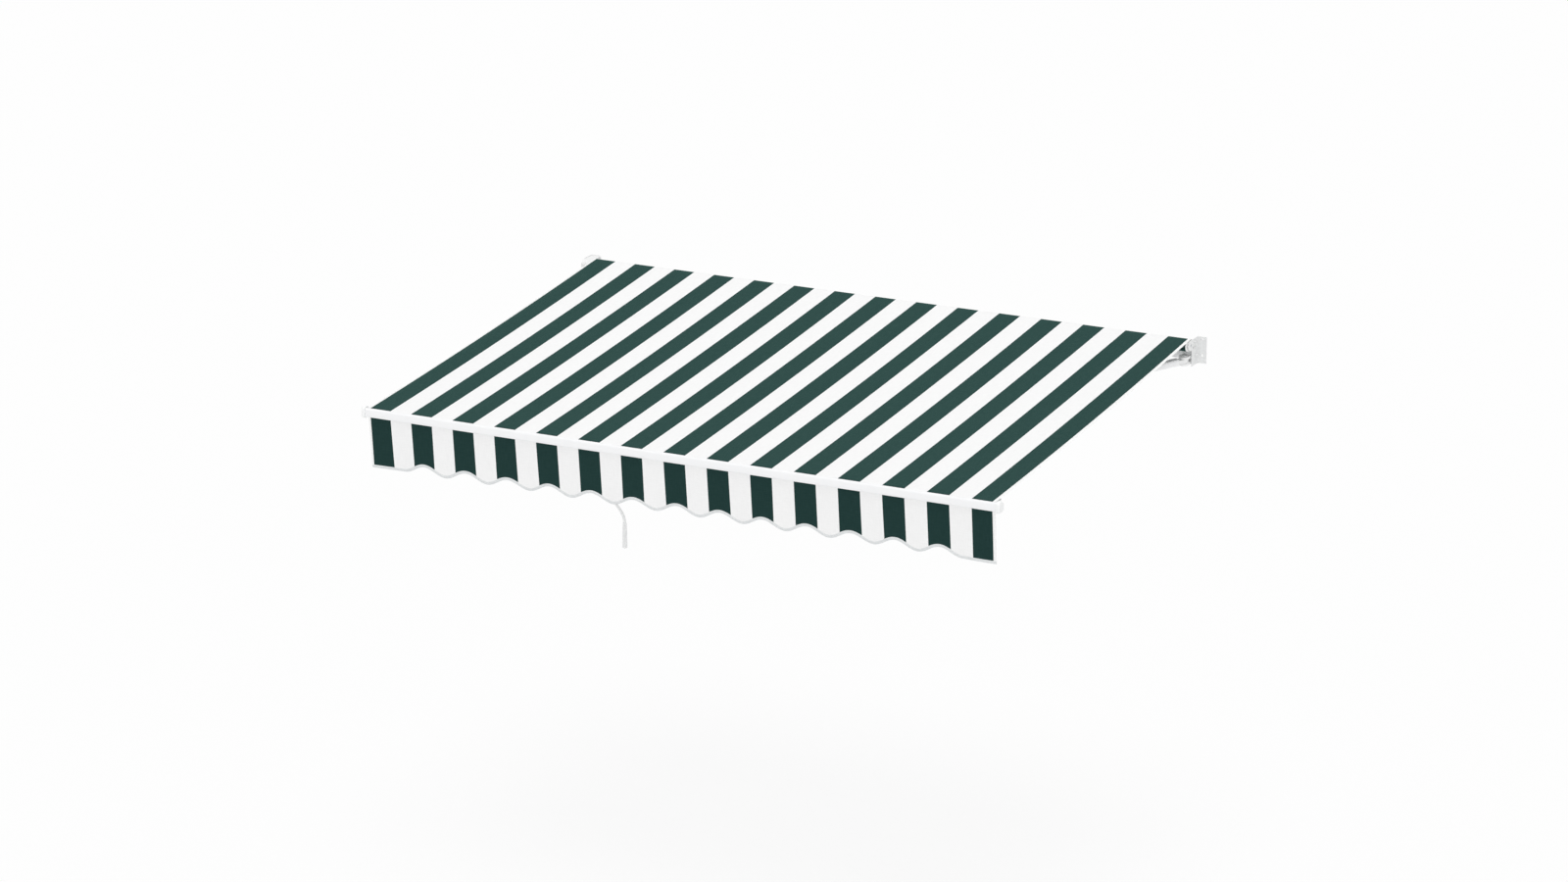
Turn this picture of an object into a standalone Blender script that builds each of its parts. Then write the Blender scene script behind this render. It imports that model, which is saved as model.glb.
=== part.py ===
# Folding arm awning with a manual crank, drawn open. Metres, +Z up.
# The wall is the plane y = 0, the awning reaches out along -Y, and x = 0 is mid-width.
# z = 0 is the height of the torsion bar's axis.

import math

import bmesh
import bpy
from mathutils import Matrix, Vector

# Clearances
GAP = 0.0003
RUN = 0.0006

# Cloth
HALF_CLOTH = 1.690
CLOTH_THICKNESS = 0.0010
STRIPE_COUNT = 29
BINDING_WIDTH = 0.010
LEFT_TUCK = 0.0030
RIGHT_TUCK = 0.0097
BEAD_RADIUS = 0.0030
VALANCE_DROP = 0.256
SCALLOP_HEIGHT = 0.0413
SCALLOP_STEPS = 12
CUT_MARGIN = 0.050

# Front bar
PROJECTION = 2.440
FRONT_OVERHANG = 0.0145
FRONT_DEPTH = 0.042
FRONT_HEIGHT = 0.0445
FRONT_TOP = -0.088
FRONT_BACK_HEIGHT = 0.030
FRONT_TOP_DEPTH = 0.026
FRONT_WALL = 0.0025
FRONT_NOSE_RADIUS = 0.009
FRONT_CREST_RADIUS = 0.012
FRONT_CHIN_RADIUS = 0.006
FRONT_EDGE_RADIUS = 0.007
CANOPY_GROOVE_SETBACK = 0.015
VALANCE_GROOVE_SETBACK = 0.012
GROOVE_RADIUS = 0.0038
GROOVE_WALL = 0.0016
GROOVE_DEPTH = 0.0060
GROOVE_MOUTH = 0.0028
CAP_LENGTH = 0.019
CAP_LIP = 0.006
CAP_EDGE = 0.006
CAP_TONGUE = 0.020

# Roller
ROLLER_Y = -0.086
ROLLER_Z = 0.0615
ROLLER_RADIUS = 0.0265
ROLLER_WALL = 0.002
ROLL_RADIUS = 0.032
ROLLER_SETBACK = 0.002
PLUG_FLANGE = 0.002
ROLLER_PLUG_LENGTH = 0.030
AXLE_RADIUS = 0.006

# Wall brackets
PLATE_THICKNESS = 0.005
PLATE_MARGIN = 0.008
BRACKET_TOP = 0.090
BRACKET_HEIGHT = 0.138
BRACKET_DEPTH = 0.080
FLANGE_WIDTH = 0.045
WALL_HOLE_RADIUS = 0.0045
WALL_HOLE_INSET = 0.011
WALL_HOLE_SPACING = 0.090
WALL_SLOT_LENGTH = 0.007
WINDOW_FRONT = -0.072
WINDOW_BACK = -0.036
WINDOW_TOP = 0.060
WINDOW_HEIGHT = 0.022

# Torsion bar
TORSION_SIZE = 0.040
TORSION_WALL = 0.0025
TORSION_CORNER = 0.003
TORSION_INNER_CORNER = 0.001
TORSION_Y = -0.034
TORSION_PLUG_LENGTH = 0.040
TORSION_BOLT_RADIUS = 0.005
TORSION_BOLT_LENGTH = 0.035
TORSION_BOLT_HEAD = 0.009
TORSION_BOLT_HEAD_HEIGHT = 0.005

# Arms
SHOULDER_INSET = 0.035
SHOULDER_Y = -0.100
SHOULDER_Z = -0.015
SHOULDER_ANGLE = 30.0
WRIST_SETBACK = 0.053
WRIST_DROP = 0.026
UPPER_WIDTH = 0.040
UPPER_HEIGHT = 0.036
UPPER_CORNER = 0.010
UPPER_OFFSET = 0.025
FORE_WIDTH = 0.034
FORE_HEIGHT = 0.030
FORE_CORNER = 0.008
FORE_OFFSET = 0.021
ARM_WALL = 0.0025
END_REACH = 0.045
COLLAR_LENGTH = 0.004
ARM_PLUG_LENGTH = 0.040
SHOULDER_BOSS_RADIUS = 0.026
SHOULDER_EYE_RADIUS = 0.022
SHOULDER_EYE_HEIGHT = 0.019
SHOULDER_CHEEK = 0.012
SHOULDER_PIN_RADIUS = 0.008
ELBOW_BOSS_RADIUS = 0.020
ELBOW_EYE_RADIUS = 0.018
ELBOW_EYE_HEIGHT = 0.016
ELBOW_CHEEK = 0.008
ELBOW_PIN_RADIUS = 0.007
WRIST_BOSS_RADIUS = 0.017
WRIST_EYE_RADIUS = 0.015
WRIST_EYE_HEIGHT = 0.016
WRIST_CHEEK = 0.007
WRIST_PIN_RADIUS = 0.006
PIN_HEAD_LIP = 0.004
PIN_HEAD_HEIGHT = 0.003

# Shoulder clamps
CLAMP_BOLT_GAP = 0.0012
CLAMP_BLOCK = 0.010
CLAMP_PLATE = 0.006
CLAMP_REACH = 0.014
CLAMP_BOLT_RADIUS = 0.004
CLAMP_BOLT_HEAD = 0.0065
CLAMP_BOLT_HEAD_HEIGHT = 0.005
CLAMP_BORE_FLOOR = 0.002

# Front connectors
FOOT_THICKNESS = 0.006
FOOT_HALF_WIDTH = 0.030
FOOT_HALF_HEIGHT = 0.018
FOOT_BOLT_RADIUS = 0.0055
FOOT_BOLT_HEIGHT = 0.004
FOOT_BOLT_INSET = 0.0075

# Springs and cables
SPRING_RADIUS = 0.008
SPRING_WIRE = 0.0015
SPRING_LENGTH = 0.300
SPRING_TURNS = 12
SPRING_STEPS = 8
CABLE_RADIUS = 0.002
CABLE_CLEARANCE = 0.0008
CABLE_WRAP = 32.0
CABLE_BORE_RADIUS = 0.0035

# Roller bearing at the right end
BEARING_THICKNESS = 0.006
BEARING_DISC_RADIUS = 0.027
BEARING_FOOT_BACK = -0.012
BEARING_FOOT_HALF_HEIGHT = 0.012
SIDE_BOLT_Z = 0.072
SIDE_BOLT_REAR_Y = -0.022
SIDE_BOLT_FRONT_Y = -0.048
SIDE_BOLT_RADIUS = 0.003
SIDE_BOLT_HEAD = 0.0055
SIDE_BOLT_HEAD_HEIGHT = 0.003

# Gearbox at the left end
GEARBOX_SETBACK = 0.005
GEARBOX_WIDTH = 0.0505
GEARBOX_COVER = 0.003
GEARBOX_WALL = 0.006
GEARBOX_NOSE_RADIUS = 0.027
GEARBOX_NOSE_SETBACK = 0.010
GEARBOX_ROOM = 0.0018
GEARBOX_BOSS_RADIUS = 0.016
GEARBOX_NECK_RADIUS = 0.009
GEARBOX_NECK_LENGTH = 0.008
WHEEL_TIP_RADIUS = 0.0150
WHEEL_ROOT_RADIUS = 0.0130
WHEEL_TEETH = 14
TOOTH_ROOT_SHARE = 0.30
TOOTH_TIP_SHARE = 0.14
WHEEL_WIDTH = 0.014
WHEEL_STANDOFF = 0.010
WHEEL_SHAFT_RADIUS = 0.007
WHEEL_SHAFT_INSIDE = 0.020
WORM_RADIUS = 0.0060
WORM_SHAFT_RADIUS = 0.0045
WORM_LENGTH = 0.026
EYE_RING_RADIUS = 0.011
EYE_WIRE_RADIUS = 0.003

# Crank
CRANK_HOOK_LENGTH = 0.040
CRANK_BEND_STEPS = 12
CRANK_WIRE_RADIUS = 0.003
CRANK_ROD_RADIUS = 0.007
CRANK_THROW = 0.2055
CRANK_BEND_TOP = -1.070
CRANK_BEND_BOTTOM = -1.330
CRANK_GRIP_TOP_RADIUS = 0.0085
CRANK_GRIP_BOTTOM_RADIUS = 0.0115
CRANK_GRIP_LENGTH = 0.130
CRANK_FERRULE_LENGTH = 0.020

# Facets
BIG_ROUND = 32
ROUND = 20
SMALL_ROUND = 12
HEXAGON = 6
CORNER_STEPS = 4
ARC_STEPS = 10
WRAP_STEPS = 6
FINE_STEPS = 2
COARSE_STEPS = 3
WELD = 0.000001
SMOOTH_ANGLE = 35

LEFT = -1
RIGHT = 1
SIDE_NAMES = {LEFT: "left", RIGHT: "right"}

# Worked out from the sizes above
FRONT_HALF = HALF_CLOTH + FRONT_OVERHANG
GEARBOX_INNER = HALF_CLOTH + GEARBOX_SETBACK
GEARBOX_OUTER = GEARBOX_INNER + GEARBOX_WIDTH
PLATE_INNER = {RIGHT: HALF_CLOTH + PLATE_MARGIN, LEFT: GEARBOX_OUTER + GEARBOX_COVER + 2 * GAP}
PLATE_OUTER = {side: inner + PLATE_THICKNESS for side, inner in PLATE_INNER.items()}
BRACKET_BOTTOM = BRACKET_TOP - BRACKET_HEIGHT
SHOULDER_X = PLATE_OUTER[RIGHT] - SHOULDER_INSET
FRONT_FACE = -PROJECTION
FRONT_BACK = FRONT_FACE + FRONT_DEPTH
FRONT_BOTTOM = FRONT_TOP - FRONT_HEIGHT
WRIST_Y = FRONT_BACK + WRIST_SETBACK
WRIST_Z = FRONT_TOP - WRIST_DROP
ARM_PITCH = math.atan2(SHOULDER_Z - WRIST_Z, SHOULDER_Y - WRIST_Y)
ARM_SPAN = math.hypot(SHOULDER_Z - WRIST_Z, SHOULDER_Y - WRIST_Y)
PIVOT_LENGTH = ARM_SPAN / (2 * math.cos(math.radians(SHOULDER_ANGLE)))
UPPER_LENGTH = math.sqrt(PIVOT_LENGTH ** 2 - UPPER_OFFSET ** 2)
FORE_LENGTH = math.sqrt(PIVOT_LENGTH ** 2 - FORE_OFFSET ** 2)
UPPER_TURN = math.radians(SHOULDER_ANGLE) + math.atan2(UPPER_OFFSET, UPPER_LENGTH)
FORE_TURN = math.radians(SHOULDER_ANGLE) + math.atan2(FORE_OFFSET, FORE_LENGTH)
WHEEL_INNER = GEARBOX_INNER + GEARBOX_WALL + WHEEL_STANDOFF
WHEEL_CENTRE = WHEEL_INNER + WHEEL_WIDTH / 2
WORM_Y = ROLLER_Y - WHEEL_TIP_RADIUS - WORM_RADIUS - RUN
GEARBOX_BOTTOM = ROLLER_Z - GEARBOX_NOSE_RADIUS
EYE_Z = GEARBOX_BOTTOM - GEARBOX_NECK_LENGTH - 2 * EYE_WIRE_RADIUS - EYE_RING_RADIUS
CANOPY_GROOVE = (FRONT_FACE + CANOPY_GROOVE_SETBACK, FRONT_TOP - GROOVE_DEPTH)
VALANCE_GROOVE = (FRONT_FACE + VALANCE_GROOVE_SETBACK, FRONT_BOTTOM + GROOVE_DEPTH)


for old_object in list(bpy.data.objects):
    bpy.data.objects.remove(old_object, do_unlink=True)

PARTS = bpy.data.collections.new("folding_arm_awning")
CUTTERS = bpy.data.collections.new("cutters")
bpy.context.scene.collection.children.link(PARTS)
bpy.context.scene.collection.children.link(CUTTERS)


def make_material(name, colour, roughness, metallic):
    """Principled material with one colour."""
    material = bpy.data.materials.new(name)
    material.use_nodes = True
    shader = material.node_tree.nodes["Principled BSDF"]
    shader.inputs["Base Color"].default_value = (*colour, 1.0)
    shader.inputs["Roughness"].default_value = roughness
    shader.inputs["Metallic"].default_value = metallic
    return material


WHITE_METAL = make_material("white_powder_coat", (0.86, 0.86, 0.85), 0.35, 0.0)
BARE_STEEL = make_material("zinc_plated_steel", (0.62, 0.63, 0.64), 0.35, 1.0)
GREEN_CLOTH = make_material("green_acrylic_cloth", (0.030, 0.082, 0.070), 0.9, 0.0)
WHITE_CLOTH = make_material("white_acrylic_cloth", (0.86, 0.86, 0.84), 0.9, 0.0)
WHITE_PLASTIC = make_material("white_polyamide", (0.84, 0.84, 0.83), 0.45, 0.0)
BRASS = make_material("brass", (0.72, 0.52, 0.22), 0.35, 1.0)


def box(low, high):
    """Cube primitive stretched between two corners."""
    shape = bmesh.new()
    bmesh.ops.create_cube(shape, size=1.0)
    low = Vector(low)
    high = Vector(high)
    bmesh.ops.scale(shape, vec=high - low, verts=shape.verts)
    bmesh.ops.translate(shape, vec=(low + high) / 2, verts=shape.verts)
    return shape


def rod(start, end, radius, end_radius=None, segments=ROUND):
    """Cylinder or cone between two points."""
    start = Vector(start)
    end = Vector(end)
    turn = (end - start).to_track_quat('Z', 'Y').to_matrix().to_4x4()
    place = Matrix.Translation((start + end) / 2) @ turn
    shape = bmesh.new()
    bmesh.ops.create_cone(
        shape, cap_ends=True, segments=segments, radius1=radius,
        radius2=radius if end_radius is None else end_radius,
        depth=(end - start).length, matrix=place)
    return shape


def hull(*shapes):
    """Smallest convex solid around the given shapes."""
    cloud = bmesh.new()
    for shape in shapes:
        for vertex in shape.verts:
            cloud.verts.new(vertex.co)
        shape.free()
    result = bmesh.ops.convex_hull(cloud, input=cloud.verts)
    loose = [item for item in result["geom_interior"] if isinstance(item, bmesh.types.BMVert)]
    bmesh.ops.delete(cloud, geom=loose, context='VERTS')
    bmesh.ops.dissolve_limit(cloud, angle_limit=0.001, verts=cloud.verts, edges=cloud.edges)
    return cloud


def arc(centre, radius, start, end, steps):
    """Points on an arc, angles in degrees."""
    points = []
    for index in range(steps + 1):
        angle = math.radians(start + (end - start) * index / steps)
        points.append((centre[0] + radius * math.cos(angle), centre[1] + radius * math.sin(angle)))
    return points


def rounded_rectangle(low, high, radii):
    """Outline with one radius per corner: top right, top left, bottom left, bottom right."""
    corners = [
        (high[0] - radii[0], high[1] - radii[0]), (low[0] + radii[1], high[1] - radii[1]),
        (low[0] + radii[2], low[1] + radii[2]), (high[0] - radii[3], low[1] + radii[3])]
    points = []
    for index, corner in enumerate(corners):
        points += arc(corner, radii[index], 90 * index, 90 * index + 90, CORNER_STEPS)
    return points


def rounded_corners(corners, radii, grow):
    """Rounded corners of a convex shape, one radius and one list of points for each."""
    rounds = []
    for index, radius in enumerate(radii):
        here = Vector(corners[index])
        before = (Vector(corners[index - 1]) - here).normalized()
        after = (Vector(corners[(index + 1) % len(corners)]) - here).normalized()
        half_angle = before.angle(after) / 2
        centre = here + (before + after).normalized() * radius / math.sin(half_angle)
        setback = radius / math.tan(half_angle)
        first = here + before * setback - centre
        last = here + after * setback - centre
        start = math.degrees(math.atan2(first.y, first.x))
        sweep = (math.degrees(math.atan2(last.y, last.x)) - start + 180) % 360 - 180
        rounds.append(arc(centre, radius + grow, start, start + sweep, CORNER_STEPS))
    return rounds


def curve_to_shape(curve):
    """Closed mesh of a curve, with its caps welded."""
    guide = bpy.data.objects.new("guide", curve)
    CUTTERS.objects.link(guide)
    bpy.context.view_layer.update()
    depsgraph = bpy.context.evaluated_depsgraph_get()
    mesh = bpy.data.meshes.new_from_object(guide.evaluated_get(depsgraph))
    bpy.data.objects.remove(guide, do_unlink=True)
    shape = bmesh.new()
    shape.from_mesh(mesh)
    bpy.data.meshes.remove(mesh)
    bmesh.ops.remove_doubles(shape, verts=shape.verts, dist=WELD)
    bmesh.ops.recalc_face_normals(shape, faces=shape.faces)
    return shape


def extruded(loops, low, high, axis):
    """Flat outline drawn across one axis and extruded from low to high along it."""
    curve = bpy.data.curves.new("outline", 'CURVE')
    curve.dimensions = '2D'
    curve.fill_mode = 'BOTH'
    curve.extrude = (high - low) / 2
    for loop in loops:
        spline = curve.splines.new('POLY')
        spline.points.add(len(loop) - 1)
        for point, (first, second) in zip(spline.points, loop):
            point.co = (first, second, 0.0, 1.0)
        spline.use_cyclic_u = True
    shape = curve_to_shape(curve)
    columns = {
        'X': ((0, 0, 1), (1, 0, 0), (0, 1, 0)),
        'Y': ((1, 0, 0), (0, 0, -1), (0, 1, 0)),
        'Z': ((1, 0, 0), (0, 1, 0), (0, 0, 1))}
    turn = Matrix(columns[axis]).to_4x4()
    bmesh.ops.transform(shape, matrix=turn, verts=shape.verts)
    shift = {'X': Vector((1, 0, 0)), 'Y': Vector((0, 1, 0)), 'Z': Vector((0, 0, 1))}[axis]
    bmesh.ops.translate(shape, vec=shift * (low + high) / 2, verts=shape.verts)
    return shape


def tube(points, radius, resolution=FINE_STEPS):
    """Round wire along a chain of points, with filled caps."""
    curve = bpy.data.curves.new("wire", 'CURVE')
    curve.dimensions = '3D'
    curve.bevel_depth = radius
    curve.bevel_resolution = resolution
    curve.use_fill_caps = True
    spline = curve.splines.new('POLY')
    spline.points.add(len(points) - 1)
    for point, place in zip(spline.points, points):
        point.co = (*place, 1.0)
    return curve_to_shape(curve)


def turned(shape, matrix):
    """Shape moved by a matrix."""
    bmesh.ops.transform(shape, matrix=matrix, verts=shape.verts)
    return shape


def place_object(name, shape, collection, side, parent):
    """Object from a shape drawn for the right side, mirrored for the left."""
    if side == LEFT:
        bmesh.ops.scale(shape, vec=(-1, 1, 1), verts=shape.verts)
        bmesh.ops.reverse_faces(shape, faces=shape.faces)
    mesh = bpy.data.meshes.new(name)
    shape.to_mesh(mesh)
    shape.free()
    mesh.shade_smooth()
    mesh.set_sharp_from_angle(angle=math.radians(SMOOTH_ANGLE))
    item = bpy.data.objects.new(name, mesh)
    item.parent = parent
    collection.objects.link(item)
    return item


def add_boolean(item, shape, operation, side, parent):
    """Union or difference with a hidden shape."""
    label = item.name + "_" + operation.lower() + "_" + str(len(item.modifiers))
    tool = place_object(label, shape, CUTTERS, side, parent)
    tool.hide_render = True
    tool.display_type = 'WIRE'
    modifier = item.modifiers.new(label, 'BOOLEAN')
    modifier.object = tool
    modifier.operation = operation


def piece(name, shape, material, side=RIGHT, parent=None, joined=(), cut=()):
    """One sub-part: a base shape, shapes joined to it and shapes cut from it."""
    item = place_object(name, shape, PARTS, side, parent)
    item.data.materials.append(material)
    for extra in joined:
        add_boolean(item, extra, 'UNION', side, parent)
    for tool in cut:
        add_boolean(item, tool, 'DIFFERENCE', side, parent)
    return item


def axis_empty(name, location, turn=None, parent=None):
    """Empty on a joint's axis."""
    empty = bpy.data.objects.new(name, None)
    empty.empty_display_size = 0.05
    empty.matrix_local = Matrix.Translation(Vector(location)) @ (turn or Matrix.Identity(4))
    empty.parent = parent
    PARTS.objects.link(empty)
    return empty


def arm_plane_matrix(side, y, z, x=SHOULDER_X):
    """Frame whose -Y runs outward in the arms' plane and whose Z is the pivots' axis."""
    return Matrix.Translation(Vector((side * x, y, z))) @ Matrix.Rotation(ARM_PITCH, 4, 'X')


def wall_bracket(side):
    """Bent steel: a side plate that carries the bars and a flange, turned to the right on both."""
    name = "wall_bracket_" + SIDE_NAMES[side]
    inner = PLATE_INNER[side]
    outer = PLATE_OUTER[side]
    middle = (inner + outer) / 2
    fold = outer if side == RIGHT else inner
    flange_end = fold + side * FLANGE_WIDTH
    hole_x = fold + side * FLANGE_WIDTH / 2
    plate = box((inner, -BRACKET_DEPTH, BRACKET_BOTTOM), (outer, 0, BRACKET_TOP))
    flange = box((min(middle, flange_end), -PLATE_THICKNESS, BRACKET_BOTTOM),
                 (max(middle, flange_end), 0, BRACKET_TOP))
    upper = BRACKET_TOP - WALL_HOLE_INSET
    lower = upper - WALL_HOLE_SPACING
    through = (-2 * PLATE_THICKNESS, PLATE_THICKNESS)
    round_hole = rod((hole_x, through[0], upper), (hole_x, through[1], upper), WALL_HOLE_RADIUS)
    slot = hull(
        rod((hole_x, through[0], lower), (hole_x, through[1], lower), WALL_HOLE_RADIUS),
        rod((hole_x, through[0], lower + WALL_SLOT_LENGTH),
            (hole_x, through[1], lower + WALL_SLOT_LENGTH), WALL_HOLE_RADIUS))
    window = extruded(
        [[(WINDOW_FRONT, WINDOW_TOP), (WINDOW_FRONT, WINDOW_TOP - WINDOW_HEIGHT),
          (WINDOW_BACK, WINDOW_TOP - WINDOW_HEIGHT / 2)]],
        inner - PLATE_THICKNESS, outer + PLATE_THICKNESS, 'X')
    cuts = [round_hole, slot, window, side_bore(TORSION_Y, 0, TORSION_BOLT_RADIUS + GAP)]
    for bolt_y in (SIDE_BOLT_REAR_Y, SIDE_BOLT_FRONT_Y):
        cuts.append(side_bore(bolt_y, SIDE_BOLT_Z, SIDE_BOLT_RADIUS + GAP))
    piece(name, plate, WHITE_METAL, side, joined=[flange], cut=cuts)


def side_bore(y, z, radius):
    """Hole along X through a side plate and what lies next to it."""
    low = HALF_CLOTH - BEARING_THICKNESS
    high = PLATE_OUTER[LEFT] + PLATE_THICKNESS
    return rod((low, y, z), (high, y, z), radius, segments=SMALL_ROUND)


def torsion_bar():
    """Square tube between the side plates, open at both ends."""
    half = TORSION_SIZE / 2
    inner = half - TORSION_WALL
    outside = rounded_rectangle((TORSION_Y - half, -half), (TORSION_Y + half, half), (TORSION_CORNER,) * 4)
    inside = rounded_rectangle((TORSION_Y - inner, -inner), (TORSION_Y + inner, inner),
                               (TORSION_INNER_CORNER,) * 4)
    tube_shape = extruded([outside, inside], GAP - PLATE_INNER[LEFT], PLATE_INNER[RIGHT] - GAP, 'X')
    piece("torsion_bar", tube_shape, WHITE_METAL)


def torsion_end(side):
    """Plug in the bar's end and the bolt that holds it to the side plate."""
    half = TORSION_SIZE / 2 - TORSION_WALL - GAP
    outer = PLATE_INNER[side] - GAP
    corner = (TORSION_CORNER + TORSION_INNER_CORNER) / 2
    plug = extruded(
        [rounded_rectangle((TORSION_Y - half, -half), (TORSION_Y + half, half), (corner,) * 4)],
        outer - TORSION_PLUG_LENGTH, outer, 'X')
    bore = rod((outer - TORSION_BOLT_LENGTH, TORSION_Y, 0), (outer + PLATE_THICKNESS, TORSION_Y, 0),
               TORSION_BOLT_RADIUS + GAP, segments=SMALL_ROUND)
    piece("bar_plug_" + SIDE_NAMES[side], plug, BARE_STEEL, side, cut=[bore])
    seat = PLATE_OUTER[side] + GAP
    head = rod((seat, TORSION_Y, 0), (seat + TORSION_BOLT_HEAD_HEIGHT, TORSION_Y, 0),
               TORSION_BOLT_HEAD, segments=HEXAGON)
    tip = seat + TORSION_BOLT_HEAD_HEIGHT / 2
    shank = rod((seat - TORSION_BOLT_LENGTH, TORSION_Y, 0), (tip, TORSION_Y, 0),
                TORSION_BOLT_RADIUS, segments=SMALL_ROUND)
    piece("bar_bolt_" + SIDE_NAMES[side], head, WHITE_METAL, side, joined=[shank])


def cheek(boss_radius, low, high, seat_low, seat_high, centre=(0.0, 0.0)):
    """Flat lug from a pivot boss to a seat box, both between two heights."""
    boss = rod((*centre, low), (*centre, high), boss_radius)
    seat = box((seat_low[0], seat_low[1], low), (seat_high[0], seat_high[1], high))
    return hull(boss, seat)


def clamp_bolt_heights():
    """Heights of the bolts above and below the torsion bar."""
    offset = TORSION_SIZE / 2 + CLAMP_BOLT_RADIUS + CLAMP_BOLT_GAP
    return {"upper": offset, "lower": -offset}


def shoulder_bracket(side):
    """Cast block clamped to the front of the torsion bar, with a fork for the arm."""
    label = SIDE_NAMES[side]
    bar_front = TORSION_Y - TORSION_SIZE / 2
    block_back = bar_front - GAP
    block_front = block_back - CLAMP_BLOCK
    reach = TORSION_SIZE / 2 + CLAMP_REACH
    block = box((SHOULDER_X - SHOULDER_BOSS_RADIUS, block_front, -reach),
                (SHOULDER_X + SHOULDER_BOSS_RADIUS, block_back, reach))
    frame = arm_plane_matrix(RIGHT, SHOULDER_Y, SHOULDER_Z)
    root = block_front - SHOULDER_Y + CLAMP_BLOCK / 2
    inner = SHOULDER_EYE_HEIGHT / 2 + GAP
    outer = inner + SHOULDER_CHEEK
    lugs = []
    for low, high in ((inner, outer), (-outer, -inner)):
        lug = cheek(SHOULDER_BOSS_RADIUS, low, high,
                    (-SHOULDER_BOSS_RADIUS, root - CLAMP_BLOCK / 4), (SHOULDER_BOSS_RADIUS, root))
        lugs.append(turned(lug, frame))
    bore = turned(rod((0, 0, -2 * outer), (0, 0, 2 * outer), SHOULDER_PIN_RADIUS + RUN), frame)
    cuts = [bore]
    for height in clamp_bolt_heights().values():
        cuts.append(rod((SHOULDER_X, block_front + CLAMP_BORE_FLOOR, height),
                        (SHOULDER_X, block_back + CLAMP_BLOCK, height),
                        CLAMP_BOLT_RADIUS + GAP, segments=SMALL_ROUND))
    piece("shoulder_bracket_" + label, block, WHITE_METAL, side, joined=lugs, cut=cuts)
    pin_low = -outer - PIN_HEAD_HEIGHT
    shank = turned(rod((0, 0, pin_low), (0, 0, outer + PIN_HEAD_HEIGHT / 2), SHOULDER_PIN_RADIUS), frame)
    head = turned(rod((0, 0, outer + GAP), (0, 0, outer + GAP + PIN_HEAD_HEIGHT),
                      SHOULDER_PIN_RADIUS + PIN_HEAD_LIP), frame)
    piece("shoulder_pin_" + label, head, WHITE_METAL, side, joined=[shank])


def shoulder_clamp(side):
    """Plate behind the torsion bar and its two bolts."""
    label = SIDE_NAMES[side]
    bar_back = TORSION_Y + TORSION_SIZE / 2
    front = bar_back + GAP
    back = front + CLAMP_PLATE
    reach = TORSION_SIZE / 2 + CLAMP_REACH
    plate = box((SHOULDER_X - SHOULDER_BOSS_RADIUS, front, -reach),
                (SHOULDER_X + SHOULDER_BOSS_RADIUS, back, reach))
    cuts = []
    for height in clamp_bolt_heights().values():
        cuts.append(rod((SHOULDER_X, front - CLAMP_PLATE, height),
                        (SHOULDER_X, back + CLAMP_PLATE, height),
                        CLAMP_BOLT_RADIUS + GAP, segments=SMALL_ROUND))
    piece("clamp_plate_" + label, plate, BARE_STEEL, side, cut=cuts)
    block_back = TORSION_Y - TORSION_SIZE / 2 - GAP
    tip = block_back - CLAMP_BLOCK + CLAMP_BORE_FLOOR + GAP
    for level, height in clamp_bolt_heights().items():
        seat = back + GAP
        head = rod((SHOULDER_X, seat, height), (SHOULDER_X, seat + CLAMP_BOLT_HEAD_HEIGHT, height),
                   CLAMP_BOLT_HEAD, segments=HEXAGON)
        shank = rod((SHOULDER_X, tip, height), (SHOULDER_X, seat + CLAMP_BOLT_HEAD_HEIGHT / 2, height),
                    CLAMP_BOLT_RADIUS, segments=SMALL_ROUND)
        piece("clamp_bolt_" + level + "_" + label, head, BARE_STEEL, side, joined=[shank])


def arm_section(width, height, corner, inset, centre_x):
    """Rounded section of an arm, shrunk by an inset."""
    radius = max(corner - inset, corner / 4)
    half_width = width / 2 - inset
    half_height = height / 2 - inset
    return rounded_rectangle((centre_x - half_width, -half_height),
                             (centre_x + half_width, half_height), (radius,) * 4)


def arm_tube(width, height, corner, centre_x, start, end):
    """Hollow extrusion along -Y between two distances from the pivot."""
    outside = arm_section(width, height, corner, 0, centre_x)
    inside = arm_section(width, height, corner, ARM_WALL, centre_x)
    return extruded([outside, inside], -end, -start, 'Y')


def arm_fitting(width, height, corner, centre_x, face, outward):
    """Collar against the end of an arm tube and plug inside it; outward is the way to the pivot."""
    collar_near = face + outward * GAP
    collar_far = collar_near + outward * COLLAR_LENGTH
    plug_far = face - outward * ARM_PLUG_LENGTH
    collar = extruded([arm_section(width, height, corner, 0, centre_x)],
                      min(collar_near, collar_far), max(collar_near, collar_far), 'Y')
    plug_near = collar_near + outward * COLLAR_LENGTH / 2
    plug = extruded([arm_section(width, height, corner, ARM_WALL + GAP, centre_x)],
                    min(plug_far, plug_near), max(plug_far, plug_near), 'Y')
    return collar, plug, collar_far


def eye_lug(eye_radius, eye_height, width, centre_x, collar_far, outward, pivot):
    """Eye around a pivot with a lug down to the collar."""
    half = eye_height / 2
    seat_near = collar_far - outward * COLLAR_LENGTH / 2
    low_y = min(seat_near, collar_far)
    high_y = max(seat_near, collar_far)
    margin = width / 2 - ARM_WALL
    return cheek(eye_radius, -half, half, (centre_x - margin, low_y), (centre_x + margin, high_y), pivot)


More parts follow.
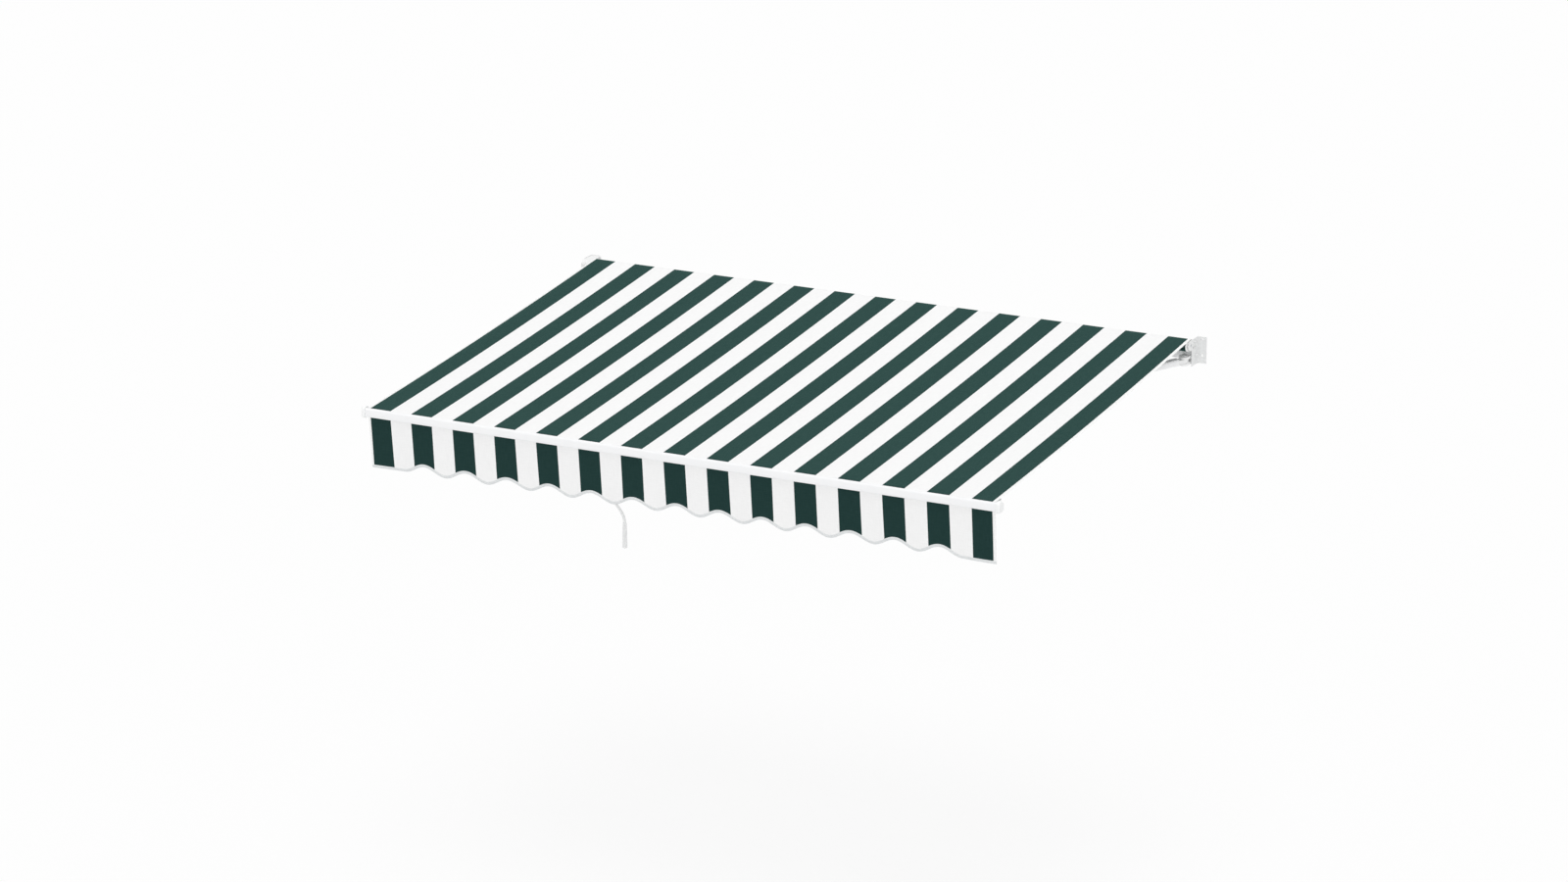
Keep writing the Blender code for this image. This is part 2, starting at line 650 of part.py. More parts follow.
def upper_arm(side, shoulder):
    """Root knuckle, hollow tube and elbow fork of one upper arm."""
    label = SIDE_NAMES[side]
    size = (UPPER_WIDTH, UPPER_HEIGHT, UPPER_CORNER)
    elbow_face = -(UPPER_LENGTH - END_REACH)
    piece("upper_arm_" + label, arm_tube(*size, 0, END_REACH, -elbow_face), WHITE_METAL, side, shoulder)
    collar, plug, collar_far = arm_fitting(*size, 0, -END_REACH, 1)
    eye = eye_lug(SHOULDER_EYE_RADIUS, SHOULDER_EYE_HEIGHT, UPPER_WIDTH, 0, collar_far, 1, (0, 0))
    bore = rod((0, 0, -UPPER_HEIGHT), (0, 0, UPPER_HEIGHT), SHOULDER_PIN_RADIUS + RUN)
    piece("shoulder_knuckle_" + label, collar, WHITE_METAL, side, shoulder, [plug, eye], [bore])
    collar, plug, collar_far = arm_fitting(*size, 0, elbow_face, -1)
    inner = ELBOW_EYE_HEIGHT / 2 + GAP
    outer = inner + ELBOW_CHEEK
    pivot = (UPPER_OFFSET, -UPPER_LENGTH)
    margin = UPPER_WIDTH / 2 - ARM_WALL
    lugs = []
    for low, high in ((inner, outer), (-outer, -inner)):
        lugs.append(cheek(ELBOW_BOSS_RADIUS, low, high, (-margin, collar_far),
                          (margin, collar_far + COLLAR_LENGTH / 2), pivot))
    pin_bore = rod((*pivot, -UPPER_HEIGHT), (*pivot, UPPER_HEIGHT), ELBOW_PIN_RADIUS + RUN)
    cable_bore = rod((cable_line(), elbow_face + 2 * ARM_PLUG_LENGTH, 0),
                     (cable_line(), collar_far - COLLAR_LENGTH, 0), CABLE_BORE_RADIUS,
                     segments=SMALL_ROUND)
    piece("elbow_fork_" + label, collar, WHITE_METAL, side, shoulder, [plug, *lugs],
          [pin_bore, cable_bore])
    shank = rod((*pivot, -outer - PIN_HEAD_HEIGHT), (*pivot, outer + PIN_HEAD_HEIGHT / 2), ELBOW_PIN_RADIUS)
    head = rod((*pivot, outer + GAP), (*pivot, outer + GAP + PIN_HEAD_HEIGHT),
               ELBOW_PIN_RADIUS + PIN_HEAD_LIP)
    piece("elbow_pin_" + label, head, WHITE_METAL, side, shoulder, [shank])


def cable_line():
    """Distance of the cable from the middle of the upper arm, towards the elbow pin."""
    return UPPER_OFFSET - cable_arc_radius()


def cable_arc_radius():
    """Radius of the cable's path round the elbow eye."""
    return ELBOW_EYE_RADIUS + CABLE_CLEARANCE + CABLE_RADIUS


def arm_tension(side, shoulder):
    """Spring inside the upper arm and the cable from it round the elbow."""
    label = SIDE_NAMES[side]
    start = -(END_REACH + ARM_PLUG_LENGTH + SPRING_WIRE + 2 * GAP)
    coil = []
    for index in range(SPRING_TURNS * SPRING_STEPS + 1):
        share = index / (SPRING_TURNS * SPRING_STEPS)
        angle = 2 * math.pi * index / SPRING_STEPS
        coil.append((SPRING_RADIUS * math.cos(angle), start - SPRING_LENGTH * share,
                     SPRING_RADIUS * math.sin(angle)))
    last = start - SPRING_LENGTH
    coil.append((cable_line(), last - SPRING_RADIUS, 0))
    piece("arm_spring_" + label, tube(coil, SPRING_WIRE), BARE_STEEL, side, shoulder)
    cable = [(cable_line(), last - SPRING_RADIUS - 2 * GAP, 0)]
    arc_points = arc((UPPER_OFFSET, -UPPER_LENGTH), cable_arc_radius(), 180, 180 + CABLE_WRAP, WRAP_STEPS)
    cable += [(x, y, 0) for x, y in arc_points]
    piece("elbow_cable_" + label, tube(cable, CABLE_RADIUS), BARE_STEEL, side, shoulder)


def forearm(side, elbow):
    """Elbow knuckle, hollow tube and end eye of one forearm."""
    label = SIDE_NAMES[side]
    size = (FORE_WIDTH, FORE_HEIGHT, FORE_CORNER)
    middle = -FORE_OFFSET
    wrist_face = -(FORE_LENGTH - END_REACH)
    piece("forearm_" + label, arm_tube(*size, middle, END_REACH, -wrist_face), WHITE_METAL, side, elbow)
    collar, plug, collar_far = arm_fitting(*size, middle, -END_REACH, 1)
    eye = eye_lug(ELBOW_EYE_RADIUS, ELBOW_EYE_HEIGHT, FORE_WIDTH, middle, collar_far, 1, (0, 0))
    bore = rod((0, 0, -FORE_HEIGHT), (0, 0, FORE_HEIGHT), ELBOW_PIN_RADIUS + RUN)
    piece("elbow_knuckle_" + label, collar, WHITE_METAL, side, elbow, [plug, eye], [bore])
    collar, plug, collar_far = arm_fitting(*size, middle, wrist_face, -1)
    pivot = (-FORE_OFFSET, -FORE_LENGTH)
    eye = eye_lug(WRIST_EYE_RADIUS, WRIST_EYE_HEIGHT, FORE_WIDTH, middle, collar_far, -1, pivot)
    bore = rod((*pivot, -FORE_HEIGHT), (*pivot, FORE_HEIGHT), WRIST_PIN_RADIUS + RUN)
    piece("forearm_end_" + label, collar, WHITE_METAL, side, elbow, [plug, eye], [bore])


def arm_connector(side, front):
    """Fork bolted to the back of the front bar, with its pin."""
    label = SIDE_NAMES[side]
    shift = Matrix.Translation(-Vector((0, WRIST_Y, WRIST_Z)))
    frame = shift @ arm_plane_matrix(RIGHT, WRIST_Y, WRIST_Z)
    foot_front = FRONT_BACK + GAP - WRIST_Y
    foot_back = foot_front + FOOT_THICKNESS
    foot = box((SHOULDER_X - FOOT_HALF_WIDTH, foot_front, -FOOT_HALF_HEIGHT),
               (SHOULDER_X + FOOT_HALF_WIDTH, foot_back, FOOT_HALF_HEIGHT))
    inner = WRIST_EYE_HEIGHT / 2 + GAP
    outer = inner + WRIST_CHEEK
    extras = []
    for low, high in ((inner, outer), (-outer, -inner)):
        lug = cheek(WRIST_BOSS_RADIUS, low, high, (-WRIST_BOSS_RADIUS, foot_front + FOOT_THICKNESS / 2),
                    (WRIST_BOSS_RADIUS, foot_back - FOOT_THICKNESS / 4))
        extras.append(turned(lug, frame))
    for offset in (-1, 1):
        bolt_x = SHOULDER_X + offset * (FOOT_HALF_WIDTH - FOOT_BOLT_INSET)
        extras.append(rod((bolt_x, foot_back - FOOT_THICKNESS / 2, 0),
                          (bolt_x, foot_back + FOOT_BOLT_HEIGHT, 0), FOOT_BOLT_RADIUS, segments=HEXAGON))
    bore = turned(rod((0, 0, -2 * outer), (0, 0, 2 * outer), WRIST_PIN_RADIUS + RUN), frame)
    piece("arm_connector_" + label, foot, WHITE_METAL, side, front, extras, [bore])
    shank = turned(rod((0, 0, -outer - PIN_HEAD_HEIGHT), (0, 0, outer + PIN_HEAD_HEIGHT / 2),
                       WRIST_PIN_RADIUS), frame)
    head = turned(rod((0, 0, outer + GAP), (0, 0, outer + GAP + PIN_HEAD_HEIGHT),
                      WRIST_PIN_RADIUS + PIN_HEAD_LIP), frame)
    piece("wrist_pin_" + label, head, WHITE_METAL, side, front, [shank])


def front_corners(grow):
    """Rounded corners of the front bar's section about the wrist pins, grown or shrunk.

    High at the front, with a top that falls away to a lower back, as the bar's end cap shows."""
    low_z = FRONT_BOTTOM - WRIST_Z
    high_z = FRONT_TOP - WRIST_Z
    low_y = FRONT_FACE - WRIST_Y
    high_y = FRONT_BACK - WRIST_Y
    corners = [
        (low_y, low_z), (high_y, low_z), (high_y, low_z + FRONT_BACK_HEIGHT),
        (low_y + FRONT_TOP_DEPTH, high_z), (low_y, high_z)]
    radii = [FRONT_CHIN_RADIUS, FRONT_EDGE_RADIUS, FRONT_EDGE_RADIUS, FRONT_CREST_RADIUS, FRONT_NOSE_RADIUS]
    return rounded_corners(corners, radii, grow)


def front_section(grow):
    """Outline of the front bar's section, grown or shrunk by a distance."""
    return [point for corner in front_corners(grow) for point in corner]


def front_bar(front):
    """Hollow extrusion with a groove on top for the canopy and one below for the valance."""
    canopy_y = CANOPY_GROOVE[0] - WRIST_Y
    canopy_z = CANOPY_GROOVE[1] - WRIST_Z
    valance_y = VALANCE_GROOVE[0] - WRIST_Y
    valance_z = VALANCE_GROOVE[1] - WRIST_Z
    top = FRONT_TOP - WRIST_Z
    bottom = FRONT_BOTTOM - WRIST_Z
    half = GROOVE_MOUTH / 2
    mouth = math.degrees(math.asin(half / GROOVE_RADIUS))
    chin, heel, back, crest, nose = front_corners(0)
    outside = chin + [(valance_y - half, bottom)]
    outside += arc((valance_y, valance_z), GROOVE_RADIUS, 270 - mouth, -90 + mouth, ARC_STEPS)
    outside += [(valance_y + half, bottom)] + heel + back + crest + [(canopy_y + half, top)]
    outside += arc((canopy_y, canopy_z), GROOVE_RADIUS, 90 - mouth, -270 + mouth, ARC_STEPS)
    outside += [(canopy_y - half, top)] + nose
    sleeve = GROOVE_RADIUS + GROOVE_WALL
    meet = math.degrees(math.asin((GROOVE_DEPTH - FRONT_WALL) / sleeve))
    chin, heel, back, crest, nose = front_corners(-FRONT_WALL)
    inside = chin + arc((valance_y, valance_z), sleeve, 180 + meet, -meet, ARC_STEPS)
    inside += heel + back + crest
    inside += arc((canopy_y, canopy_z), sleeve, meet, -180 - meet, ARC_STEPS) + nose
    piece("front_bar", extruded([outside, inside], -FRONT_HALF, FRONT_HALF, 'X'), WHITE_METAL, RIGHT, front)


def front_cap(side, front):
    """Plug in the bar's end with a lip all round and a rounded outer edge."""
    start = FRONT_HALF + GAP
    body = CAP_LENGTH - CAP_EDGE
    slices = [extruded([front_section(CAP_LIP)], start, start + body, 'X')]
    for step in range(1, CORNER_STEPS + 1):
        angle = math.pi / 2 * step / CORNER_STEPS
        reach = start + body + CAP_EDGE * math.sin(angle)
        grow = CAP_LIP - CAP_EDGE * (1 - math.cos(angle))
        slices.append(extruded([front_section(grow)], start, reach, 'X'))
    low = (CANOPY_GROOVE[0] + GROOVE_RADIUS + GROOVE_WALL + GAP - WRIST_Y,
           FRONT_BOTTOM + 2 * FRONT_WALL - WRIST_Z)
    high = (FRONT_BACK - 2 * FRONT_WALL - WRIST_Y,
            FRONT_BOTTOM + FRONT_BACK_HEIGHT - 2 * FRONT_WALL - WRIST_Z)
    tongue = box((FRONT_HALF - CAP_TONGUE, *low), (start + CAP_LENGTH / 2, *high))
    piece("front_bar_cap_" + SIDE_NAMES[side], hull(*slices), WHITE_PLASTIC, side, front, [tongue])


def stripe_width():
    """Width of one woven stripe; the bindings cover a little of the two outer ones."""
    return (2 * (HALF_CLOTH - BINDING_WIDTH) + LEFT_TUCK + RIGHT_TUCK) / STRIPE_COUNT


def stripe_edges():
    """x of every line between two colours, the outer two where the bindings begin."""
    start = -HALF_CLOTH + BINDING_WIDTH - LEFT_TUCK
    edges = [start + stripe_width() * index for index in range(STRIPE_COUNT + 1)]
    edges[0] += LEFT_TUCK
    edges[-1] -= RIGHT_TUCK
    return edges


def dye(cloth):
    """Split the cloth at the stripe lines and colour every second stripe green."""
    shape = bmesh.new()
    shape.from_mesh(cloth.data)
    for x in stripe_edges():
        everything = shape.verts[:] + shape.edges[:] + shape.faces[:]
        bmesh.ops.bisect_plane(shape, geom=everything, dist=WELD, plane_co=(x, 0, 0), plane_no=(1, 0, 0))
    for face in shape.faces:
        middle = face.calc_center_median().x
        passed = sum(1 for x in stripe_edges() if x < middle)
        face.material_index = 0 if passed % 2 == 1 else 1
    shape.to_mesh(cloth.data)
    shape.free()


def canopy():
    """Cloth from the top of the roll down to the bead in the front bar's groove."""
    groove_y, groove_z = CANOPY_GROOVE
    end = Vector((groove_y, FRONT_TOP + GAP))
    centre = Vector((ROLLER_Y, ROLLER_Z))
    reach = (end - centre).length
    lift = ROLL_RADIUS + GAP
    slope = math.atan2(centre.y - end.y, centre.x - end.x) - math.asin(lift / reach)
    normal = Vector((-math.sin(slope), math.cos(slope)))
    start = centre + normal * lift
    half = CLOTH_THICKNESS / 2
    neck = math.degrees(math.asin(half / BEAD_RADIUS))
    outline = [tuple(start), tuple(start + normal * CLOTH_THICKNESS)]
    outline.append((groove_y - half, end.y + CLOTH_THICKNESS))
    outline += arc((groove_y, groove_z), BEAD_RADIUS, 90 + neck, 450 - neck, ARC_STEPS)
    outline.append((groove_y + half, end.y + half * math.tan(slope)))
    shape = extruded([outline], -HALF_CLOTH, HALF_CLOTH, 'X')
    cloth = piece("canopy", shape, GREEN_CLOTH)
    cloth.data.materials.append(WHITE_CLOTH)
    dye(cloth)


def scallop_height(x):
    """Height of the wavy hem above its lowest line: raised in the middle of each green stripe."""
    phase = (x - first_white()) / (2 * stripe_width())
    return SCALLOP_HEIGHT * (1 - math.cos(2 * math.pi * phase)) / 2


def first_white():
    """x of the middle of the first white stripe, where the waves of the hem begin."""
    return stripe_edges()[1] + stripe_width() / 2


def valance(front):
    """Hanging cloth with a bead in the lower groove and a scalloped hem."""
    groove_y = VALANCE_GROOVE[0] - WRIST_Y
    groove_z = VALANCE_GROOVE[1] - WRIST_Z
    half = CLOTH_THICKNESS / 2
    neck = math.degrees(math.asin(half / BEAD_RADIUS))
    bottom = FRONT_BOTTOM - VALANCE_DROP - WRIST_Z
    outline = arc((groove_y, groove_z), BEAD_RADIUS, -90 + neck, 270 - neck, ARC_STEPS)
    outline += [(groove_y - half, bottom), (groove_y + half, bottom)]
    shape = extruded([outline], -HALF_CLOTH, HALF_CLOTH, 'X')
    scallops = (STRIPE_COUNT - 3) // 2
    count = SCALLOP_STEPS * scallops
    start = first_white()
    step = stripe_width() * 2 / SCALLOP_STEPS
    below = bottom - CLOTH_THICKNESS
    beyond = HALF_CLOTH + CUT_MARGIN
    hem = [(-beyond, below), (start, below)]
    for index in range(1, count):
        x = start + step * index
        hem.append((x, bottom + scallop_height(x)))
    hem += [(start + step * count, below), (beyond, below)]
    hem += [(beyond, bottom - SCALLOP_HEIGHT), (-beyond, bottom - SCALLOP_HEIGHT)]
    waste = extruded([hem], groove_y - BEAD_RADIUS * 2, groove_y + BEAD_RADIUS * 2, 'Y')
    cloth = piece("valance", shape, GREEN_CLOTH, RIGHT, front, cut=[waste])
    cloth.data.materials.append(WHITE_CLOTH)
    dye(cloth)


def roller(roller_axis):
    """Tube, the turns of cloth left on it and a plug in each end, about the roller's axis."""
    half = HALF_CLOTH - ROLLER_SETBACK
    outside = arc((0, 0), ROLLER_RADIUS, 0, 360, 2 * ROUND)[:-1]
    inside = arc((0, 0), ROLLER_RADIUS - ROLLER_WALL, 0, 360, 2 * ROUND)[:-1]
    piece("roller_tube", extruded([outside, inside], -half, half, 'X'), BARE_STEEL, RIGHT, roller_axis)
    wound = arc((0, 0), ROLL_RADIUS, 0, 360, 2 * ROUND)[:-1]
    core = arc((0, 0), ROLLER_RADIUS + GAP, 0, 360, 2 * ROUND)[:-1]
    turns = extruded([wound, core], -HALF_CLOTH, HALF_CLOTH, 'X')
    piece("cloth_roll", turns, GREEN_CLOTH, RIGHT, roller_axis)
    fit = ROLLER_RADIUS - ROLLER_WALL - RUN
    face = half + GAP
    flange = rod((face, 0, 0), (face + PLUG_FLANGE, 0, 0), ROLLER_RADIUS)
    body = rod((half - ROLLER_PLUG_LENGTH, 0, 0), (face + PLUG_FLANGE / 2, 0, 0), fit)
    axle_end = PLATE_INNER[RIGHT] - 2 * GAP
    axle = rod((face, 0, 0), (axle_end, 0, 0), AXLE_RADIUS)
    piece("roller_idler_plug", flange, BARE_STEEL, RIGHT, roller_axis, [body, axle])
    flange = rod((face, 0, 0), (face + PLUG_FLANGE, 0, 0), ROLLER_RADIUS)
    body = rod((half - ROLLER_PLUG_LENGTH, 0, 0), (face + PLUG_FLANGE / 2, 0, 0), fit)
    bore = rod((face - WHEEL_SHAFT_INSIDE, 0, 0), (face + 2 * PLUG_FLANGE, 0, 0), WHEEL_SHAFT_RADIUS + GAP)
    piece("roller_drive_plug", flange, BARE_STEEL, LEFT, roller_axis, [body], [bore])


def worm_wheel(roller_axis):
    """Toothed wheel on the stub shaft that drives the roller."""
    outline = []
    pitch = 360 / WHEEL_TEETH
    for tooth in range(WHEEL_TEETH):
        for share, radius in ((-TOOTH_ROOT_SHARE, WHEEL_ROOT_RADIUS), (-TOOTH_TIP_SHARE, WHEEL_TIP_RADIUS),
                              (TOOTH_TIP_SHARE, WHEEL_TIP_RADIUS), (TOOTH_ROOT_SHARE, WHEEL_ROOT_RADIUS)):
            angle = math.radians((tooth + share) * pitch)
            outline.append((radius * math.cos(angle), radius * math.sin(angle)))
    wheel = extruded([outline], WHEEL_INNER, WHEEL_INNER + WHEEL_WIDTH, 'X')
    tip = HALF_CLOTH - ROLLER_SETBACK + GAP - WHEEL_SHAFT_INSIDE + GAP
    shaft = rod((tip, 0, 0), (WHEEL_INNER + WHEEL_WIDTH / 2, 0, 0), WHEEL_SHAFT_RADIUS)
    piece("worm_wheel", wheel, BRASS, LEFT, roller_axis, [shaft])


def roller_bearing():
    """White arm bolted inside the right side plate, with a round end around the axle."""
    outer = PLATE_INNER[RIGHT] - GAP
    inner = outer - BEARING_THICKNESS
    disc = rod((inner, ROLLER_Y, ROLLER_Z), (outer, ROLLER_Y, ROLLER_Z), BEARING_DISC_RADIUS,
               segments=BIG_ROUND)
    foot = box((inner, SIDE_BOLT_FRONT_Y, SIDE_BOLT_Z - BEARING_FOOT_HALF_HEIGHT),
               (outer, BEARING_FOOT_BACK, SIDE_BOLT_Z + BEARING_FOOT_HALF_HEIGHT))
    bore = rod((inner - BEARING_THICKNESS, ROLLER_Y, ROLLER_Z),
               (outer + BEARING_THICKNESS, ROLLER_Y, ROLLER_Z), AXLE_RADIUS + RUN)
    cuts = [bore]
    for bolt_y in (SIDE_BOLT_REAR_Y, SIDE_BOLT_FRONT_Y):
        cuts.append(side_bore(bolt_y, SIDE_BOLT_Z, SIDE_BOLT_RADIUS + GAP))
    piece("roller_bearing", hull(disc, foot), WHITE_METAL, cut=cuts)
    for label, bolt_y in (("rear", SIDE_BOLT_REAR_Y), ("front", SIDE_BOLT_FRONT_Y)):
        seat = PLATE_OUTER[RIGHT] + GAP
        head = rod((seat, bolt_y, SIDE_BOLT_Z), (seat + SIDE_BOLT_HEAD_HEIGHT, bolt_y, SIDE_BOLT_Z),
                   SIDE_BOLT_HEAD, segments=SMALL_ROUND)
        shank = rod((inner - SIDE_BOLT_HEAD_HEIGHT, bolt_y, SIDE_BOLT_Z),
                    (seat + SIDE_BOLT_HEAD_HEIGHT / 2, bolt_y, SIDE_BOLT_Z),
                    SIDE_BOLT_RADIUS, segments=SMALL_ROUND)
        piece("bearing_bolt_" + label, head, WHITE_METAL, joined=[shank])


def gearbox_outline():
    """Side view of the gearbox: flat back against the flange, round nose about the worm."""
    back = -PLATE_THICKNESS - GAP
    nose = arc((WORM_Y + GEARBOX_NOSE_SETBACK, ROLLER_Z), GEARBOX_NOSE_RADIUS, 90, 270, ARC_STEPS)
    return [(back, GEARBOX_BOTTOM), (back, ROLLER_Z + GEARBOX_NOSE_RADIUS)] + nose


def gearbox():
    """Housing bolted inside the left side plate, open on its outer face, and its cover."""
    shell = extruded([gearbox_outline()], GEARBOX_INNER, GEARBOX_OUTER, 'X')
    boss_tip = HALF_CLOTH - ROLLER_SETBACK + GAP + PLUG_FLANGE + RUN
    boss = rod((boss_tip, ROLLER_Y, ROLLER_Z), (GEARBOX_INNER + GEARBOX_WALL / 2, ROLLER_Y, ROLLER_Z),
               GEARBOX_BOSS_RADIUS)
    neck = rod((WHEEL_CENTRE, WORM_Y, GEARBOX_BOTTOM - GEARBOX_NECK_LENGTH),
               (WHEEL_CENTRE, WORM_Y, GEARBOX_BOTTOM + GEARBOX_WALL / 2), GEARBOX_NECK_RADIUS)
    floor = GEARBOX_INNER + GEARBOX_WALL
    beyond = GEARBOX_OUTER + GEARBOX_WALL
    wheel_room = rod((floor, ROLLER_Y, ROLLER_Z), (beyond, ROLLER_Y, ROLLER_Z),
                     WHEEL_TIP_RADIUS + GEARBOX_ROOM)
    worm_half = WORM_LENGTH / 2 + RUN
    worm_side = WORM_RADIUS + GEARBOX_ROOM
    worm_room = box((floor, WORM_Y - worm_side, ROLLER_Z - worm_half),
                    (beyond, WORM_Y + worm_side, ROLLER_Z + worm_half))
    shaft_bore = rod((boss_tip - GEARBOX_WALL, ROLLER_Y, ROLLER_Z),
                     (floor + GEARBOX_WALL, ROLLER_Y, ROLLER_Z), WHEEL_SHAFT_RADIUS + RUN)
    worm_bore = rod((WHEEL_CENTRE, WORM_Y, GEARBOX_BOTTOM - 2 * GEARBOX_NECK_LENGTH),
                    (WHEEL_CENTRE, WORM_Y, ROLLER_Z), WORM_SHAFT_RADIUS + RUN)
    cuts = [wheel_room, worm_room, shaft_bore, worm_bore]
    for bolt_y in (SIDE_BOLT_REAR_Y, SIDE_BOLT_FRONT_Y):
        cuts.append(side_bore(bolt_y, SIDE_BOLT_Z, SIDE_BOLT_RADIUS + GAP))
    piece("gearbox_housing", shell, WHITE_METAL, LEFT, joined=[boss, neck], cut=cuts)
    cover_inner = GEARBOX_OUTER + GAP
    cover_outer = cover_inner + GEARBOX_COVER
    cover = extruded([gearbox_outline()], cover_inner, cover_outer, 'X')
    cover_cuts = []
    for bolt_y in (SIDE_BOLT_REAR_Y, SIDE_BOLT_FRONT_Y):
        cover_cuts.append(side_bore(bolt_y, SIDE_BOLT_Z, SIDE_BOLT_RADIUS + GAP))
    piece("gearbox_cover", cover, WHITE_METAL, LEFT, cut=cover_cuts)
    for label, bolt_y in (("rear", SIDE_BOLT_REAR_Y), ("front", SIDE_BOLT_FRONT_Y)):
        seat = PLATE_OUTER[LEFT] + GAP
        head = rod((seat, bolt_y, SIDE_BOLT_Z), (seat + SIDE_BOLT_HEAD_HEIGHT, bolt_y, SIDE_BOLT_Z),
                   SIDE_BOLT_HEAD, segments=SMALL_ROUND)
        shank = rod((GEARBOX_INNER - SIDE_BOLT_HEAD_HEIGHT, bolt_y, SIDE_BOLT_Z),
                    (seat + SIDE_BOLT_HEAD_HEIGHT / 2, bolt_y, SIDE_BOLT_Z),
                    SIDE_BOLT_RADIUS, segments=SMALL_ROUND)
        piece("gearbox_bolt_" + label, head, WHITE_METAL, LEFT, joined=[shank])


def worm_shaft(worm_axis):
    """Worm, its shaft down through the neck and the eye for the crank, about the shaft's axis."""
    half = WORM_LENGTH / 2
    worm = rod((0, 0, -half), (0, 0, half), WORM_RADIUS)
    eye_z = EYE_Z - ROLLER_Z
    shaft_end = eye_z + EYE_RING_RADIUS
    shaft = rod((0, 0, shaft_end), (0, 0, 0), WORM_SHAFT_RADIUS)
    ring = bpy.data.curves.new("eye", 'CURVE')
    ring.dimensions = '3D'
    ring.bevel_depth = EYE_WIRE_RADIUS
    ring.bevel_resolution = FINE_STEPS
    spline = ring.splines.new('POLY')
    points = arc((0, eye_z), EYE_RING_RADIUS, 0, 360, ROUND)[:-1]
    spline.points.add(len(points) - 1)
    for point, (x, z) in zip(spline.points, points):
        point.co = (x, 0, z, 1.0)
    spline.use_cyclic_u = True
    eye = curve_to_shape(ring)
    piece("worm_shaft", worm, BARE_STEEL, LEFT, worm_axis, [shaft, eye])


def crank(worm_axis):
    """Hook through the eye, bent rod and grip, hanging from the eye."""
    ring_bottom = EYE_Z - ROLLER_Z - EYE_RING_RADIUS
    bend = EYE_WIRE_RADIUS + CRANK_WIRE_RADIUS + 2 * GAP
    rod_top = ring_bottom - CRANK_HOOK_LENGTH
    straight = ring_bottom - bend
    tail = straight - bend
    path = [(0, 0, rod_top + GAP), (0, 0, rod_top + bend), (0, -bend, tail), (0, -bend, straight)]
    path += [(0, y, ring_bottom + z) for y, z in arc((0, 0), bend, 180, 0, ARC_STEPS)]
    path.append((0, bend, tail))
    piece("crank_hook", tube(path, CRANK_WIRE_RADIUS), BARE_STEEL, LEFT, worm_axis)
    grip_top = CRANK_BEND_BOTTOM - ROLLER_Z
    points = [(0, 0, rod_top)]
    for index in range(CRANK_BEND_STEPS + 1):
        share = index / CRANK_BEND_STEPS
        level = CRANK_BEND_TOP + (CRANK_BEND_BOTTOM - CRANK_BEND_TOP) * share - ROLLER_Z
        points.append((-CRANK_THROW * (1 - math.cos(math.pi * share)) / 2, 0, level))
    points.append((-CRANK_THROW, 0, grip_top - CRANK_FERRULE_LENGTH))
    piece("crank_rod", tube(points, CRANK_ROD_RADIUS, COARSE_STEPS), WHITE_METAL, LEFT, worm_axis)
    top = grip_top
    bottom = top - CRANK_GRIP_LENGTH
    grip = rod((-CRANK_THROW, 0, bottom), (-CRANK_THROW, 0, top), CRANK_GRIP_BOTTOM_RADIUS,
               CRANK_GRIP_TOP_RADIUS)
    socket = rod((-CRANK_THROW, 0, top - CRANK_FERRULE_LENGTH - GAP), (-CRANK_THROW, 0, top + GAP),
                 CRANK_ROD_RADIUS + GAP)
    piece("crank_grip", grip, WHITE_PLASTIC, LEFT, worm_axis, cut=[socket])


def build():
    """Every sub-part of the awning."""
    torsion_bar()
    roller_axis = axis_empty("roller_axis", (0, ROLLER_Y, ROLLER_Z))
    front = axis_empty("front_bar_place", (0, WRIST_Y, WRIST_Z))
    worm_axis = axis_empty("worm_axis", (-WHEEL_CENTRE, WORM_Y, ROLLER_Z))
    for side in (LEFT, RIGHT):
        wall_bracket(side)
        torsion_end(side)
        shoulder_bracket(side)
        shoulder_clamp(side)
        label = SIDE_NAMES[side]
        shoulder = axis_empty("shoulder_axis_" + label, (0, 0, 0))
        shoulder.matrix_local = arm_plane_matrix(side, SHOULDER_Y, SHOULDER_Z) @ Matrix.Rotation(
            -side * UPPER_TURN, 4, 'Z')
        elbow_place = Matrix.Translation(Vector((side * UPPER_OFFSET, -UPPER_LENGTH, 0)))
        elbow = axis_empty("elbow_axis_" + label, (0, 0, 0), parent=shoulder)
        elbow.matrix_local = elbow_place @ Matrix.Rotation(side * (UPPER_TURN + FORE_TURN), 4, 'Z')
        upper_arm(side, shoulder)
        arm_tension(side, shoulder)
        forearm(side, elbow)
        arm_connector(side, front)
        front_cap(side, front)
    front_bar(front)
    canopy()
    valance(front)
    roller(roller_axis)
    worm_wheel(roller_axis)
    roller_bearing()
    gearbox()
    worm_shaft(worm_axis)
    crank(worm_axis)


build()
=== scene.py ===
# Looks of the folding arm awning, drawn open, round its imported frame. Metres, +Z up, wall at y = 0.

import math

